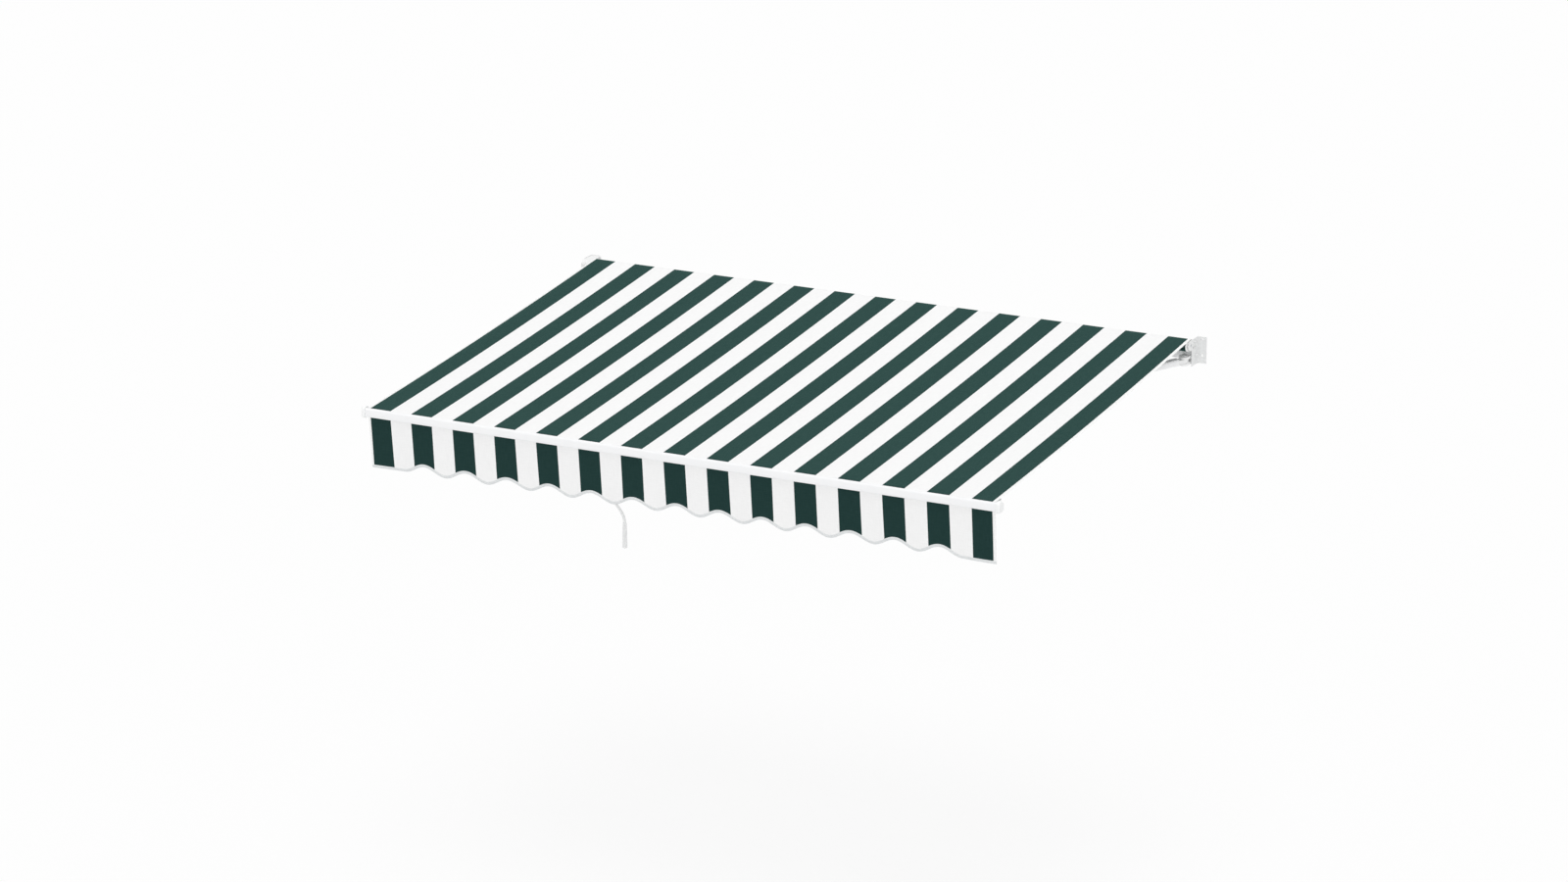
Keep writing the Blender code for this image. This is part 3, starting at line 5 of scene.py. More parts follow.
import bmesh
import bpy
import numpy as np
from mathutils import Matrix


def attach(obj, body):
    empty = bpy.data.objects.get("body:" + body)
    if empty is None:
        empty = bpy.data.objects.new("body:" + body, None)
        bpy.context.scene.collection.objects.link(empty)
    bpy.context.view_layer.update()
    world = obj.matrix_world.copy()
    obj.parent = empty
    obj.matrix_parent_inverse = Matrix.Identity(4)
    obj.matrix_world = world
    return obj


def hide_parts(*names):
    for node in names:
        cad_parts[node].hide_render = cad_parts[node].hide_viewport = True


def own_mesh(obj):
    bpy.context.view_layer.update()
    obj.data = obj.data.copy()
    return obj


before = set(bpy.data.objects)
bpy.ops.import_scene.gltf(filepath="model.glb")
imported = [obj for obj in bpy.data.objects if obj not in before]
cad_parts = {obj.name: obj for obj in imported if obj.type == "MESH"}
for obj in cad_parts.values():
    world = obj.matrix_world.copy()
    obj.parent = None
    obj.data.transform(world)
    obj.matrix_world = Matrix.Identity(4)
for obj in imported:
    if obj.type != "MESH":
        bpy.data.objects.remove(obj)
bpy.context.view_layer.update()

# Sizes that repeat the part's own
GAP = 0.0003
HALF_CLOTH = 1.690
CLOTH_THICKNESS = 0.0010
STRIPE_COUNT = 29
BINDING_WIDTH = 0.010
LEFT_TUCK = 0.0030
RIGHT_TUCK = 0.0097
BEAD_RADIUS = 0.0030
VALANCE_DROP = 0.256
SCALLOP_HEIGHT = 0.0413
FRONT_HALF = 1.7045
FRONT_FACE = -2.440
FRONT_DEPTH = 0.042
FRONT_HEIGHT = 0.0445
FRONT_TOP = -0.088
FRONT_BOTTOM = FRONT_TOP - FRONT_HEIGHT
FRONT_BACK_HEIGHT = 0.030
FRONT_TOP_DEPTH = 0.026
FRONT_WALL = 0.0025
FRONT_RADII = (0.006, 0.007, 0.007, 0.012, 0.009)
GROOVE_RADIUS = 0.0038
GROOVE_WALL = 0.0016
GROOVE_MOUTH = 0.0028
CANOPY_GROOVE = (-2.425, -0.094)
VALANCE_GROOVE = (-2.428, -0.1265)
CAP_LENGTH = 0.019
CAP_LIP = 0.006
CAP_EDGE = 0.006
ROLLER_Y = -0.086
ROLLER_Z = 0.0615
ROLLER_RADIUS = 0.0265
ROLL_RADIUS = 0.032
WORM_X = -1.718
WORM_Y = -0.1076
EYE_Z = 0.0095
EYE_RING_RADIUS = 0.011
CRANK_HOOK_LENGTH = 0.040
CRANK_ROD_RADIUS = 0.008
CRANK_THROW = 0.2055
CRANK_BEND_TOP = -1.070
CRANK_BEND_BOTTOM = -1.330
CRANK_GRIP_LENGTH = 0.140
CRANK_GRIP_TOP_RADIUS = 0.0110
CRANK_GRIP_BOTTOM_RADIUS = 0.0140

# Mesh steps
STRIPE_STEPS = 4
SCALLOP_STEPS = 12
CORNER_STEPS = 8
GROOVE_STEPS = 18
ROUND_STEPS = 24
SHARP_ANGLE = math.radians(35)


# Camera of the photograph, a long lens far away

CAMERA_PLACE = (12.388, -26.040, 8.240)
CAMERA_AZIMUTH = math.radians(26.546)
CAMERA_ELEVATION = math.radians(17.221)
CAMERA_LENS = 133.81
SENSOR_WIDTH = 36.0

eye = bpy.data.cameras.new("camera")
eye.lens = CAMERA_LENS
eye.sensor_width = SENSOR_WIDTH
eye.clip_end = 1000
camera = bpy.data.objects.new("camera", eye)
camera.location = CAMERA_PLACE
camera.rotation_euler = (math.pi / 2 - CAMERA_ELEVATION, 0, CAMERA_AZIMUTH)
bpy.context.scene.collection.objects.link(camera)
bpy.context.scene.camera = camera
bpy.context.scene.view_settings.view_transform = 'Standard'


# Materials

def linear(code):
    """Linear colour of an sRGB hex code."""
    channels = [int(code[place:place + 2], 16) / 255 for place in (1, 3, 5)]
    return (*[c / 12.92 if c <= 0.04045 else ((c + 0.055) / 1.055) ** 2.4 for c in channels], 1.0)


def add(tree, kind, inputs=None, **settings):
    """One node with its settings; each input is a value or another node's output."""
    node = tree.nodes.new(kind)
    for name, value in settings.items():
        setattr(node, name, value)
    for name, value in (inputs or {}).items():
        if isinstance(value, bpy.types.NodeSocket):
            tree.links.new(value, node.inputs[name])
        else:
            node.inputs[name].default_value = value
    return node


def new_finish(name, **constants):
    """Material with its Principled shader, whose constants are set on the shader's own sockets."""
    material = bpy.data.materials.new(name)
    material.use_nodes = True
    tree = material.node_tree
    shader = tree.nodes["Principled BSDF"]
    for socket, value in constants.items():
        shader.inputs[socket.replace("_", " ")].default_value = value
    return material, tree, shader


def lead_in(tree, shader, tone, rough, bump):
    """Leads a mixed colour, a roughness and a bump into the shader."""
    tree.links.new(tone.outputs[2], shader.inputs["Base Color"])
    tree.links.new(rough.outputs[0], shader.inputs["Roughness"])
    tree.links.new(bump.outputs[0], shader.inputs["Normal"])


def powder_coat(name, dark, light, peel, relief, rough_low, rough_high):
    """Baked polyester powder coat: colour between two near tones, with an orange peel of one size."""
    material, tree, shader = new_finish(name, Coat_Weight=0.12, Coat_Roughness=0.3)
    place = add(tree, 'ShaderNodeTexCoord').outputs["Object"]
    cloud = add(tree, 'ShaderNodeTexNoise', {"Vector": place, "Scale": 9.0, "Detail": 3.0})
    tone = add(tree, 'ShaderNodeMix', {0: cloud.outputs[0], 6: linear(dark), 7: linear(light)},
               data_type='RGBA')
    dimple = add(tree, 'ShaderNodeTexNoise', {"Vector": place, "Scale": 1 / peel, "Detail": 2.0})
    rough = add(tree, 'ShaderNodeMapRange',
                {0: dimple.outputs[0], 1: 0.3, 2: 0.7, 3: rough_low, 4: rough_high})
    bump = add(tree, 'ShaderNodeBump', {"Height": dimple.outputs[0], "Strength": 0.35, "Distance": relief})
    lead_in(tree, shader, tone, rough, bump)
    return material


def metal(name, dark, light, grain, stretch, rough_low, rough_high):
    """Bare metal: two tones mixed by a grain that is stretched along X, Y or Z."""
    material, tree, shader = new_finish(name, Metallic=1.0)
    place = add(tree, 'ShaderNodeTexCoord').outputs["Object"]
    along = add(tree, 'ShaderNodeMapping', {"Vector": place, "Scale": stretch})
    mottle = add(tree, 'ShaderNodeTexNoise', {"Vector": along.outputs[0], "Scale": 1 / grain, "Detail": 4.0})
    share = add(tree, 'ShaderNodeMapRange', {0: mottle.outputs[0], 1: 0.3, 2: 0.7, 3: 0.0, 4: 1.0})
    tone = add(tree, 'ShaderNodeMix', {0: share.outputs[0], 6: linear(dark), 7: linear(light)},
               data_type='RGBA')
    rough = add(tree, 'ShaderNodeMapRange',
                {0: mottle.outputs[0], 1: 0.3, 2: 0.7, 3: rough_high, 4: rough_low})
    bump = add(tree, 'ShaderNodeBump', {"Height": mottle.outputs[0], "Strength": 0.2, "Distance": 0.0001})
    lead_in(tree, shader, tone, rough, bump)
    return material


def woven(name, dark, light, pitch, relief, sheen, sheen_tint, gloss=0.25, slub=0.012):
    """Plain weave on the piece's own UV in metres: the product of two sines, with some thicker yarns."""
    material, tree, shader = new_finish(
        name, Sheen_Weight=sheen, Sheen_Roughness=0.45, Sheen_Tint=linear(sheen_tint),
        Specular_IOR_Level=gloss)
    place = add(tree, 'ShaderNodeUVMap').outputs[0]
    split = add(tree, 'ShaderNodeSeparateXYZ', {0: place})
    waves = []
    for axis in (0, 1):
        turn = add(tree, 'ShaderNodeMath', {0: split.outputs[axis], 1: math.pi / pitch}, operation='MULTIPLY')
        waves.append(add(tree, 'ShaderNodeMath', {0: turn.outputs[0]}, operation='SINE').outputs[0])
    weave = add(tree, 'ShaderNodeMath', {0: waves[0], 1: waves[1]}, operation='MULTIPLY')
    yarns = []
    for scale in ((1 / slub, 0.10 / slub, 1.0), (0.10 / slub, 1 / slub, 1.0)):
        along = add(tree, 'ShaderNodeMapping', {"Vector": place, "Scale": scale})
        yarn = add(tree, 'ShaderNodeTexNoise', {"Vector": along.outputs[0], "Scale": 2.5, "Detail": 3.0})
        yarns.append(yarn.outputs[0])
    both = add(tree, 'ShaderNodeMath', {0: yarns[0], 1: yarns[1]}, operation='ADD')
    share = add(tree, 'ShaderNodeMapRange', {0: both.outputs[0], 1: 0.7, 2: 1.3, 3: 0.0, 4: 1.0})
    tone = add(tree, 'ShaderNodeMix', {0: share.outputs[0], 6: linear(dark), 7: linear(light)},
               data_type='RGBA')
    rough = add(tree, 'ShaderNodeMapRange', {0: share.outputs[0], 1: 0.0, 2: 1.0, 3: 0.92, 4: 0.78})
    height = add(tree, 'ShaderNodeMath', {0: weave.outputs[0], 1: 0.5, 2: share.outputs[0]},
                 operation='MULTIPLY_ADD')
    bump = add(tree, 'ShaderNodeBump', {"Height": height.outputs[0], "Strength": 0.5, "Distance": relief})
    lead_in(tree, shader, tone, rough, bump)
    return material


def moulded(name, dark, light, grain, rough_low, rough_high):
    """Moulded plastic: even colour with the fine matt grain of an etched tool."""
    material, tree, shader = new_finish(name, IOR=1.53)
    place = add(tree, 'ShaderNodeTexCoord').outputs["Object"]
    cloud = add(tree, 'ShaderNodeTexNoise', {"Vector": place, "Scale": 25.0, "Detail": 2.0})
    tone = add(tree, 'ShaderNodeMix', {0: cloud.outputs[0], 6: linear(dark), 7: linear(light)},
               data_type='RGBA')
    etch = add(tree, 'ShaderNodeTexVoronoi', {"Vector": place, "Scale": 1 / grain}, feature='SMOOTH_F1')
    rough = add(tree, 'ShaderNodeMapRange', {0: etch.outputs[0], 1: 0.0, 2: 0.8, 3: rough_low, 4: rough_high})
    bump = add(tree, 'ShaderNodeBump', {"Height": etch.outputs[0], "Strength": 0.25, "Distance": 0.0001})
    lead_in(tree, shader, tone, rough, bump)
    return material


# Solution-dyed acrylic awning cloth: matt and soft, and paler where it is seen at a slant.
# Its real threads are 0.5 mm apart, and they are drawn 1.5 mm apart so that they show.
GREEN_CLOTH = woven("green_acrylic_cloth", "#193230", "#1E3735", 0.0015, 0.00030, 0.27, "#7CC3B4", 0.10)
WHITE_CLOTH = woven("white_acrylic_cloth", "#F3F3F3", "#F8F8F8", 0.0015, 0.00030, 0.10, "#FFFFFF", 0.25)
# Woven polyester braid: smoother and brighter than the cloth, with a clear rib.
BRAID = woven("white_polyester_braid", "#F3F3F2", "#FCFCFC", 0.0020, 0.00040, 0.05, "#FFFFFF")
# The same braid on the hem, greyed a little as painted shade for its shaded lower edge, so that the wavy edge
# reads as a fine line.
HEM_BRAID_PAINTED_SHADE = woven("hem_braid_with_painted_shade", "#D8DBDC", "#E5E7E8", 0.0020, 0.00040, 0.05, "#FFFFFF")
# Bonded polyester thread: a slight gloss on every stitch.
THREAD = woven("white_polyester_thread", "#E9E9E7", "#F6F6F5", 0.0005, 0.00010, 0.05, "#FFFFFF")
# Powder-coated extruded aluminium: satin white with a faint orange peel about 2 mm across.
COATED_PROFILE = powder_coat(
    "white_powder_coat_on_aluminium", "#F0F1F2", "#F6F6F7", 0.002, 0.00012, 0.34, 0.44)
# Powder-coated steel sheet: a slightly greyer white, and rougher.
COATED_STEEL = powder_coat("white_powder_coat_on_steel", "#E1E2E2", "#E9EAEA", 0.002, 0.00015, 0.38, 0.48)
# Powder-coated cast aluminium: the sand of the mould shows through the coat.
COATED_CASTING = powder_coat(
    "white_powder_coat_on_casting", "#E9EAEA", "#F2F2F2", 0.0012, 0.00030, 0.42, 0.54)
# Moulded polyamide and ABS: matt white with a fine etched grain.
WHITE_PLASTIC = moulded("white_moulded_plastic", "#F1F2F2", "#F7F8F8", 0.0010, 0.36, 0.46)
# The crank's coat and grip are painted a cleaner white than the frame, as painted light that makes up for the
# canopy's shade over them, with the same peel and grain.
CRANK_COAT_WITH_PAINTED_LIGHT = powder_coat("crank_tube_coat_with_painted_light", "#F9FAFA", "#FFFFFF", 0.002, 0.00012, 0.34, 0.44)
GRIP_PLASTIC_WITH_PAINTED_LIGHT = moulded("crank_grip_plastic_with_painted_light", "#F9FAFA", "#FFFFFF", 0.0010, 0.36, 0.46)
# Zinc-plated steel: pale bluish grey with a soft blotchy shine.
ZINC = metal("zinc_plated_steel", "#B4B8BD", "#D5D8DB", 0.006, (1, 1, 1), 0.28, 0.44)
# Galvanised rolled tube: duller zinc with marks drawn out along the tube.
GALVANISED = metal("galvanised_steel_tube", "#9DA2A6", "#C3C7CA", 0.008, (0.1, 1, 1), 0.38, 0.55)
# Gear brass: warm yellow with fine turning marks.
BRASS = metal("turned_brass", "#B9934A", "#DDBB72", 0.002, (0.2, 1, 1), 0.25, 0.38)


# Mesh makers

def make_piece(name, points, faces, finishes, uv=None, face_finish=None, closed=True):
    """Object from arrays of points and faces, smooth but for its sharp edges, at the origin."""
    mesh = bpy.data.meshes.new(name)
    mesh.from_pydata(points.reshape(-1, 3).tolist(), [], faces)
    for finish in finishes:
        mesh.materials.append(finish)
    if face_finish is not None:
        mesh.polygons.foreach_set("material_index", np.asarray(face_finish, np.int32))
    if uv is not None:
        corner = np.empty(len(mesh.loops), np.int32)
        mesh.loops.foreach_get("vertex_index", corner)
        layer = mesh.uv_layers.new(name="UVMap")
        layer.data.foreach_set("uv", uv.reshape(-1, 2)[corner].astype(np.float32).ravel())
    if closed:
        shape = bmesh.new()
        shape.from_mesh(mesh)
        bmesh.ops.recalc_face_normals(shape, faces=shape.faces)
        shape.to_mesh(mesh)
        shape.free()
    mesh.shade_smooth()
    mesh.set_sharp_from_angle(angle=SHARP_ANGLE)
    item = bpy.data.objects.new(name, mesh)
    bpy.context.scene.collection.objects.link(item)
    return item


def grid_faces(rows, columns, across=False, along=False):
    """Quads of a grid of points, closed across its columns or along its rows."""
    index = np.arange(rows * columns).reshape(rows, columns)
    if across:
        index = np.hstack([index, index[:, :1]])
    if along:
        index = np.vstack([index, index[:1]])
    quads = np.stack([index[:-1, :-1], index[:-1, 1:], index[1:, 1:], index[1:, :-1]], axis=-1)
    return quads.reshape(-1, 4)


def bar_piece(name, rings, finish, uv=None):
    """Closed bar: rings of points [ring, point, 3] joined in order, with a flat face on both ends."""
    rows, columns = rings.shape[:2]
    faces = grid_faces(rows, columns, across=True).tolist()
    faces.append(list(range(columns)))
    faces.append(list(range((rows - 1) * columns, rows * columns)))
    return make_piece(name, rings, faces, [finish], uv)


def unit(vectors):
    """Each vector of a list brought to length 1."""
    return vectors / np.linalg.norm(vectors, axis=1, keepdims=True)


def tube_piece(name, path, radii, finish):
    """Round tube: a circle of each radius carried square to a path that keeps one distance from the wall."""
    tangent = unit(np.gradient(path, axis=0))
    side = unit(np.cross(tangent, np.broadcast_to((0.0, 1.0, 0.0), path.shape)))
    upright = np.cross(side, tangent)
    angle = np.linspace(0, 2 * math.pi, ROUND_STEPS, endpoint=False)[None, :, None]
    radius = np.broadcast_to(radii, len(path))[:, None, None]
    rings = path[:, None] + radius * (np.cos(angle) * side[:, None] + np.sin(angle) * upright[:, None])
    return bar_piece(name, rings, finish)


def arc(centre, radius, start, end, steps):
    """Points on a circle between two angles in degrees."""
    angle = np.radians(np.linspace(start, end, steps + 1))
    return np.stack([centre[0] + radius * np.cos(angle), centre[1] + radius * np.sin(angle)], axis=1)


def path_length(points):
    """Distance along a chain of points."""
    return np.concatenate([[0], np.cumsum(np.linalg.norm(np.diff(points, axis=0), axis=1))])


TAPE_FOLD_STEPS = 6
TAPE_EDGE_SHARE = 0.6


def tape_piece(name, path, inward, normal, width, thickness, finish):
    """Binding folded over an edge: a flat loop with a round outer fold, carried along the edge."""
    half = thickness / 2
    edge = half * TAPE_EDGE_SHARE
    fold = arc((-half, 0), half, 90, -90, TAPE_FOLD_STEPS) * (-1, 1)
    inner_edge = np.array([[width - half, -half], [width, -edge], [width, edge], [width - half, half]])
    loop = np.vstack([fold, inner_edge])
    loop[:, 0] -= half
    rings = path[:, None] + loop[None, :, :1] * inward[:, None] + loop[None, :, 1:] * normal[:, None]
    uv = np.stack(np.broadcast_arrays(path_length(path)[:, None], path_length(loop)[None]), axis=-1)
    return bar_piece(name, rings, finish, uv)


STITCH_PITCH = 0.0055
STITCH_LENGTH = 0.0044
STITCH_SIDES = 6
STITCH_STATIONS = np.array([-0.5, -0.36, 0.36, 0.5])
STITCH_SWELL = np.array([0.35, 1.0, 1.0, 0.35])
STITCH_RISE = 0.3
THREAD_RADIUS = 0.00038


def along_path(distance, values, places):
    """Vectors given at some distances along a path, read at other places between them."""
    return np.stack([np.interp(places, distance, values[:, axis]) for axis in range(3)], axis=1)


def stitch_piece(name, lines, finish):
    """Rows of stitches: short spindles laid end to end on each line, half sunk in the cloth."""
    angle = np.linspace(0, 2 * math.pi, STITCH_SIDES, endpoint=False)[None, None, :, None]
    rows = len(STITCH_STATIONS)
    size = rows * STITCH_SIDES
    points = []
    faces = []
    for path, normal in lines:
        distance = path_length(path)
        middles = np.arange(STITCH_PITCH, distance[-1] - STITCH_PITCH / 2, STITCH_PITCH)
        start = along_path(distance, path, middles - STITCH_PITCH / 4)
        end = along_path(distance, path, middles + STITCH_PITCH / 4)
        up = along_path(distance, normal, middles)
        along = unit(end - start)
        side = unit(np.cross(along, up))
        centre = (start + end) / 2 + up * THREAD_RADIUS * STITCH_RISE
        ring = np.cos(angle) * side[:, None, None] + np.sin(angle) * up[:, None, None]
        reach = STITCH_STATIONS[None, :, None, None] * STITCH_LENGTH * along[:, None, None]
        girth = STITCH_SWELL[None, :, None, None] * THREAD_RADIUS * ring
        spindle = centre[:, None, None] + reach + girth
        base = sum(len(block) for block in points) + np.arange(len(middles)) * size
        quads = grid_faces(rows, STITCH_SIDES, across=True)[None] + base[:, None, None]
        faces += quads.reshape(-1, 4).tolist()
        lids = np.stack([np.arange(STITCH_SIDES), np.arange(size - STITCH_SIDES, size)])
        faces += (lids[None] + base[:, None, None]).reshape(-1, STITCH_SIDES).tolist()
        points.append(spindle.reshape(-1, 3))
    spots = np.vstack(points)
    return make_piece(name, spots, faces, [finish], uv=spots[:, :2].copy())


def finish_piece(item, body, slot, *nodes):
    """Puts a piece on its body and hides the CAD nodes that it stands for; its slot is not used."""
    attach(item, body)
    if nodes:
        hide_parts(*nodes)
    return item


def thicken(item, thickness):
    """Gives a sheet its thickness, half on each side."""
    wall = item.modifiers.new("cloth_thickness", 'SOLIDIFY')
    wall.thickness = thickness
    wall.offset = 0
    wall.use_even_offset = False


# Cloth

RIGHT_BINDING_EXTRA = 0.0055
HALF_OPEN = HALF_CLOTH - BINDING_WIDTH
LEFT_EDGE = -HALF_CLOTH
RIGHT_EDGE = HALF_CLOTH + RIGHT_BINDING_EXTRA
STRIPE_WIDTH = (2 * HALF_OPEN + LEFT_TUCK + RIGHT_TUCK) / STRIPE_COUNT
FIRST_EDGE = -HALF_OPEN - LEFT_TUCK
WAVE_START = FIRST_EDGE + 1.5 * STRIPE_WIDTH
WAVE_LENGTH = 2 * STRIPE_WIDTH
WAVE_COUNT = (STRIPE_COUNT - 3) // 2


def columns_across(steps):
    """x of the mesh lines across the cloth: both edges, both bindings and equal steps in every stripe."""
    inner = FIRST_EDGE + STRIPE_WIDTH * np.arange(1, STRIPE_COUNT * steps) / steps
    inner = inner[np.abs(inner) < HALF_OPEN - GAP]
    return np.concatenate([[LEFT_EDGE, -HALF_OPEN], inner, [HALF_OPEN, RIGHT_EDGE]])


def stripe_faces(x, rows):
    """Finish of each face: green on every second stripe, white between them and on the hems."""
    middle = (x[1:] + x[:-1]) / 2
    place = np.floor((middle - FIRST_EDGE) / STRIPE_WIDTH).astype(int)
    green = (np.abs(middle) < HALF_OPEN) & (place % 2 == 0)
    return np.broadcast_to(np.where(green, 0, 1)[None], (rows - 1, len(x) - 1)).ravel()


BINDING_REACH = 0.02
BINDING_WRAP_ROWS = 4
BINDING_BEND_ROWS = 2
SIDE_TAPE = 0.0022
HEM_TAPE = 0.0030
HEM_TAPE_WIDTH = 0.015
SEAM_INSET = 0.0025
HEM_SEAM_INSET = 0.0045

CANOPY_SAG = 0.009
CANOPY_RIPPLE = 0.0012
CANOPY_LONG_WAVE = 0.61
CANOPY_SHORT_WAVE = 0.263
CANOPY_EDGE_DIP = 0.0035
CANOPY_EDGE_REACH = 0.05
CANOPY_ROWS = 90
WRAP_ANGLE = 38.0
WRAP_SINK = 0.0014
WRAP_STEPS = 10
MOUTH_BEND = 0.001
MOUTH_STEPS = 5
BEAD_TURN = 300.0
BEAD_STEPS = 14

half_thick = CLOTH_THICKNESS / 2
roll_centre = np.array([ROLLER_Y, ROLLER_Z])
mouth_top = np.array([CANOPY_GROOVE[0] + MOUTH_BEND, FRONT_TOP + GAP + half_thick])
lift = ROLL_RADIUS + GAP + half_thick
reach = roll_centre - mouth_top
slope = math.atan2(reach[1], reach[0]) - math.asin(lift / np.linalg.norm(reach))
leave_angle = math.degrees(slope) + 90
leave_point = roll_centre + lift * np.array([-math.sin(slope), math.cos(slope)])


def canopy_line():
    """Side view of the cloth: over the top of the roll, out to the front bar, down and round its bead."""
    wrap = arc(roll_centre, lift, leave_angle - WRAP_ANGLE, leave_angle, WRAP_STEPS)
    sink = np.linspace(1, 0, WRAP_STEPS + 1)[:, None] ** 2 * WRAP_SINK
    wrap += (roll_centre - wrap) / lift * sink
    share = np.linspace(0, 1, CANOPY_ROWS + 1)[1:-1, None]
    run = leave_point + (mouth_top - leave_point) * share
    bend_centre = (mouth_top[0], mouth_top[1] - MOUTH_BEND)
    bend = arc(bend_centre, MOUTH_BEND, 90 + math.degrees(slope), 180, MOUTH_STEPS)
    bead = arc(CANOPY_GROOVE, BEAD_RADIUS - half_thick, 100, 100 + BEAD_TURN, BEAD_STEPS)
    return np.vstack([wrap, run, bend, bead]), len(wrap), len(wrap) + len(run)


def canopy_height(x, share):
    """Sag of the cloth and its faint ripples: a parabola along the cloth, and long waves across it."""
    sag = -CANOPY_SAG * 4 * share * (1 - share)
    long_wave = np.sin(2 * math.pi * x / CANOPY_LONG_WAVE + 0.7)
    short_wave = 0.6 * np.sin(2 * math.pi * x / CANOPY_SHORT_WAVE + 1.9 + 2 * share)
    edge = -CANOPY_EDGE_DIP * np.exp(-np.minimum(x - LEFT_EDGE, RIGHT_EDGE - x) / CANOPY_EDGE_REACH)
    fade = np.sin(math.pi * share) ** 0.8
    return sag + (CANOPY_RIPPLE * (long_wave + short_wave) + edge) * fade


def canopy_points(x):
    """Points of the cloth at each x: the side view with its sag added square to it."""
    line, first, last = canopy_line()
    share = np.zeros(len(line))
    share[first:last] = np.linspace(0, 1, last - first + 2)[1:-1]
    rise = np.zeros((len(line), len(x)))
    rise[first:last] = canopy_height(x[None], share[first:last, None])
    points = np.empty((len(line), len(x), 3))
    points[..., 0] = x
    points[..., 1] = line[:, None, 0] - math.sin(slope) * rise
    points[..., 2] = line[:, None, 1] + math.cos(slope) * rise
    return points


def make_canopy():
    """Striped sheet between the roll and the front bar, with a binding on both sides."""
    x = columns_across(STRIPE_STEPS)
    points = canopy_points(x)
    rows = len(points)
    distance = path_length(points[:, len(x) // 2])
    uv = np.stack(np.broadcast_arrays(x[None], distance[:, None]), axis=-1)
    sheet = make_piece("canopy_cloth", points, grid_faces(rows, len(x)).tolist(), [GREEN_CLOTH, WHITE_CLOTH],
                       uv, stripe_faces(x, rows), closed=False)
    thicken(sheet, CLOTH_THICKNESS)
    finish_piece(sheet, "wall_frame", "striped_cloth", "canopy")
    trims = []
    lines = []
    _, first, last = canopy_line()
    for side, rim in ((-1, LEFT_EDGE), (1, RIGHT_EDGE)):
        width = abs(rim) - HALF_OPEN
        edge = canopy_points(np.array([rim, rim - side * BINDING_REACH]))
        edge = edge[first - BINDING_WRAP_ROWS:last + BINDING_BEND_ROWS]
        path = edge[:, 0]
        inward = unit(edge[:, 1] - edge[:, 0])
        tangent = unit(np.gradient(path, axis=0))
        normal = np.cross(inward, tangent)
        normal *= np.sign(normal[len(normal) // 2, 2])
        label = "left" if side < 0 else "right"
        tape = tape_piece("canopy_binding_" + label, path, inward, normal, width, SIDE_TAPE, BRAID)
        trims.append(finish_piece(tape, "wall_frame", "striped_cloth"))
        seam = path + inward * (width - SEAM_INSET)
        lines.append((seam + normal * SIDE_TAPE / 2, normal))
        lines.append((seam - normal * SIDE_TAPE / 2, -normal))
    trims.append(finish_piece(stitch_piece("canopy_stitches", lines, THREAD), "wall_frame", "striped_cloth"))
    for item in (sheet, *trims):
        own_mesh(item)


def hem_height(x):
    """Height of the hem over its lowest line: a cosine that peaks on all green stripes but the outer two."""
    phase = np.clip((x - WAVE_START) / WAVE_LENGTH, 0, WAVE_COUNT)
    return SCALLOP_HEIGHT * (1 - np.cos(2 * math.pi * phase)) / 2


VALANCE_STRETCH = 0.009
VALANCE_TOP = FRONT_BOTTOM - GAP
VALANCE_BOTTOM = FRONT_BOTTOM - VALANCE_DROP - VALANCE_STRETCH
VALANCE_HEIGHT = VALANCE_TOP - VALANCE_BOTTOM
VALANCE_LEAN = 0.028
VALANCE_SWAY = 0.0032
VALANCE_LONG_WAVE = 0.93
VALANCE_SHORT_WAVE = 0.37
VALANCE_CURL = 1.2
VALANCE_CURL_REACH = 0.04
VALANCE_ROWS = 40
BRAID_START = 0.0005
HEM_POINTS = 900
SIDE_POINTS = 60


def valance_y(x, z):
    """Place of the hanging cloth before the wall: an even lean inward, and waves that grow to the hem."""
    share = np.clip((VALANCE_TOP - z) / VALANCE_HEIGHT, 0, 1)
    long_wave = np.sin(2 * math.pi * x / VALANCE_LONG_WAVE + 0.4)
    short_wave = 0.7 * np.sin(2 * math.pi * x / VALANCE_SHORT_WAVE + 2.1)
    hem_wave = 0.55 * np.cos(2 * math.pi * (x - WAVE_START) / WAVE_LENGTH)
    curl = -VALANCE_CURL * np.exp(-np.minimum(x - LEFT_EDGE, RIGHT_EDGE - x) / VALANCE_CURL_REACH)
    wave = VALANCE_SWAY * share ** 1.4 * (long_wave + short_wave + hem_wave + curl)
    return VALANCE_GROOVE[0] + VALANCE_LEAN * share + wave


def valance_normal(path, across, up):
    """Outward normal of the hanging cloth, from its slopes over a short reach across and a short reach up."""
    x, y, z = path.T
    slope_across = (valance_y(x + across, z) - y) / across
    slope_up = (valance_y(x, z + up) - y) / up
    return unit(np.stack([slope_across, -np.ones_like(x), slope_up], axis=1))


def valance_edges():
    """Each braided edge: its path, the way in, and the braid's width, thickness, seam inset and finish."""
    spread = np.linspace(LEFT_EDGE, RIGHT_EDGE, HEM_POINTS)
    level = VALANCE_BOTTOM + hem_height(spread)
    hem = np.stack([spread, valance_y(spread, level), level], axis=1)
    drop = np.linspace(VALANCE_TOP - BRAID_START, VALANCE_BOTTOM, SIDE_POINTS)
    left, right = [np.stack([np.full_like(drop, rim), valance_y(rim, drop), drop], axis=1)
                   for rim in (LEFT_EDGE, RIGHT_EDGE)]
    return (
        ("hem", hem, (0, 0, 1), HEM_TAPE_WIDTH, HEM_TAPE, HEM_SEAM_INSET, HEM_BRAID_PAINTED_SHADE),
        ("left", left, (1, 0, 0), -LEFT_EDGE - HALF_OPEN, SIDE_TAPE, SEAM_INSET, BRAID),
        ("right", right, (-1, 0, 0), RIGHT_EDGE - HALF_OPEN, SIDE_TAPE, SEAM_INSET, BRAID))


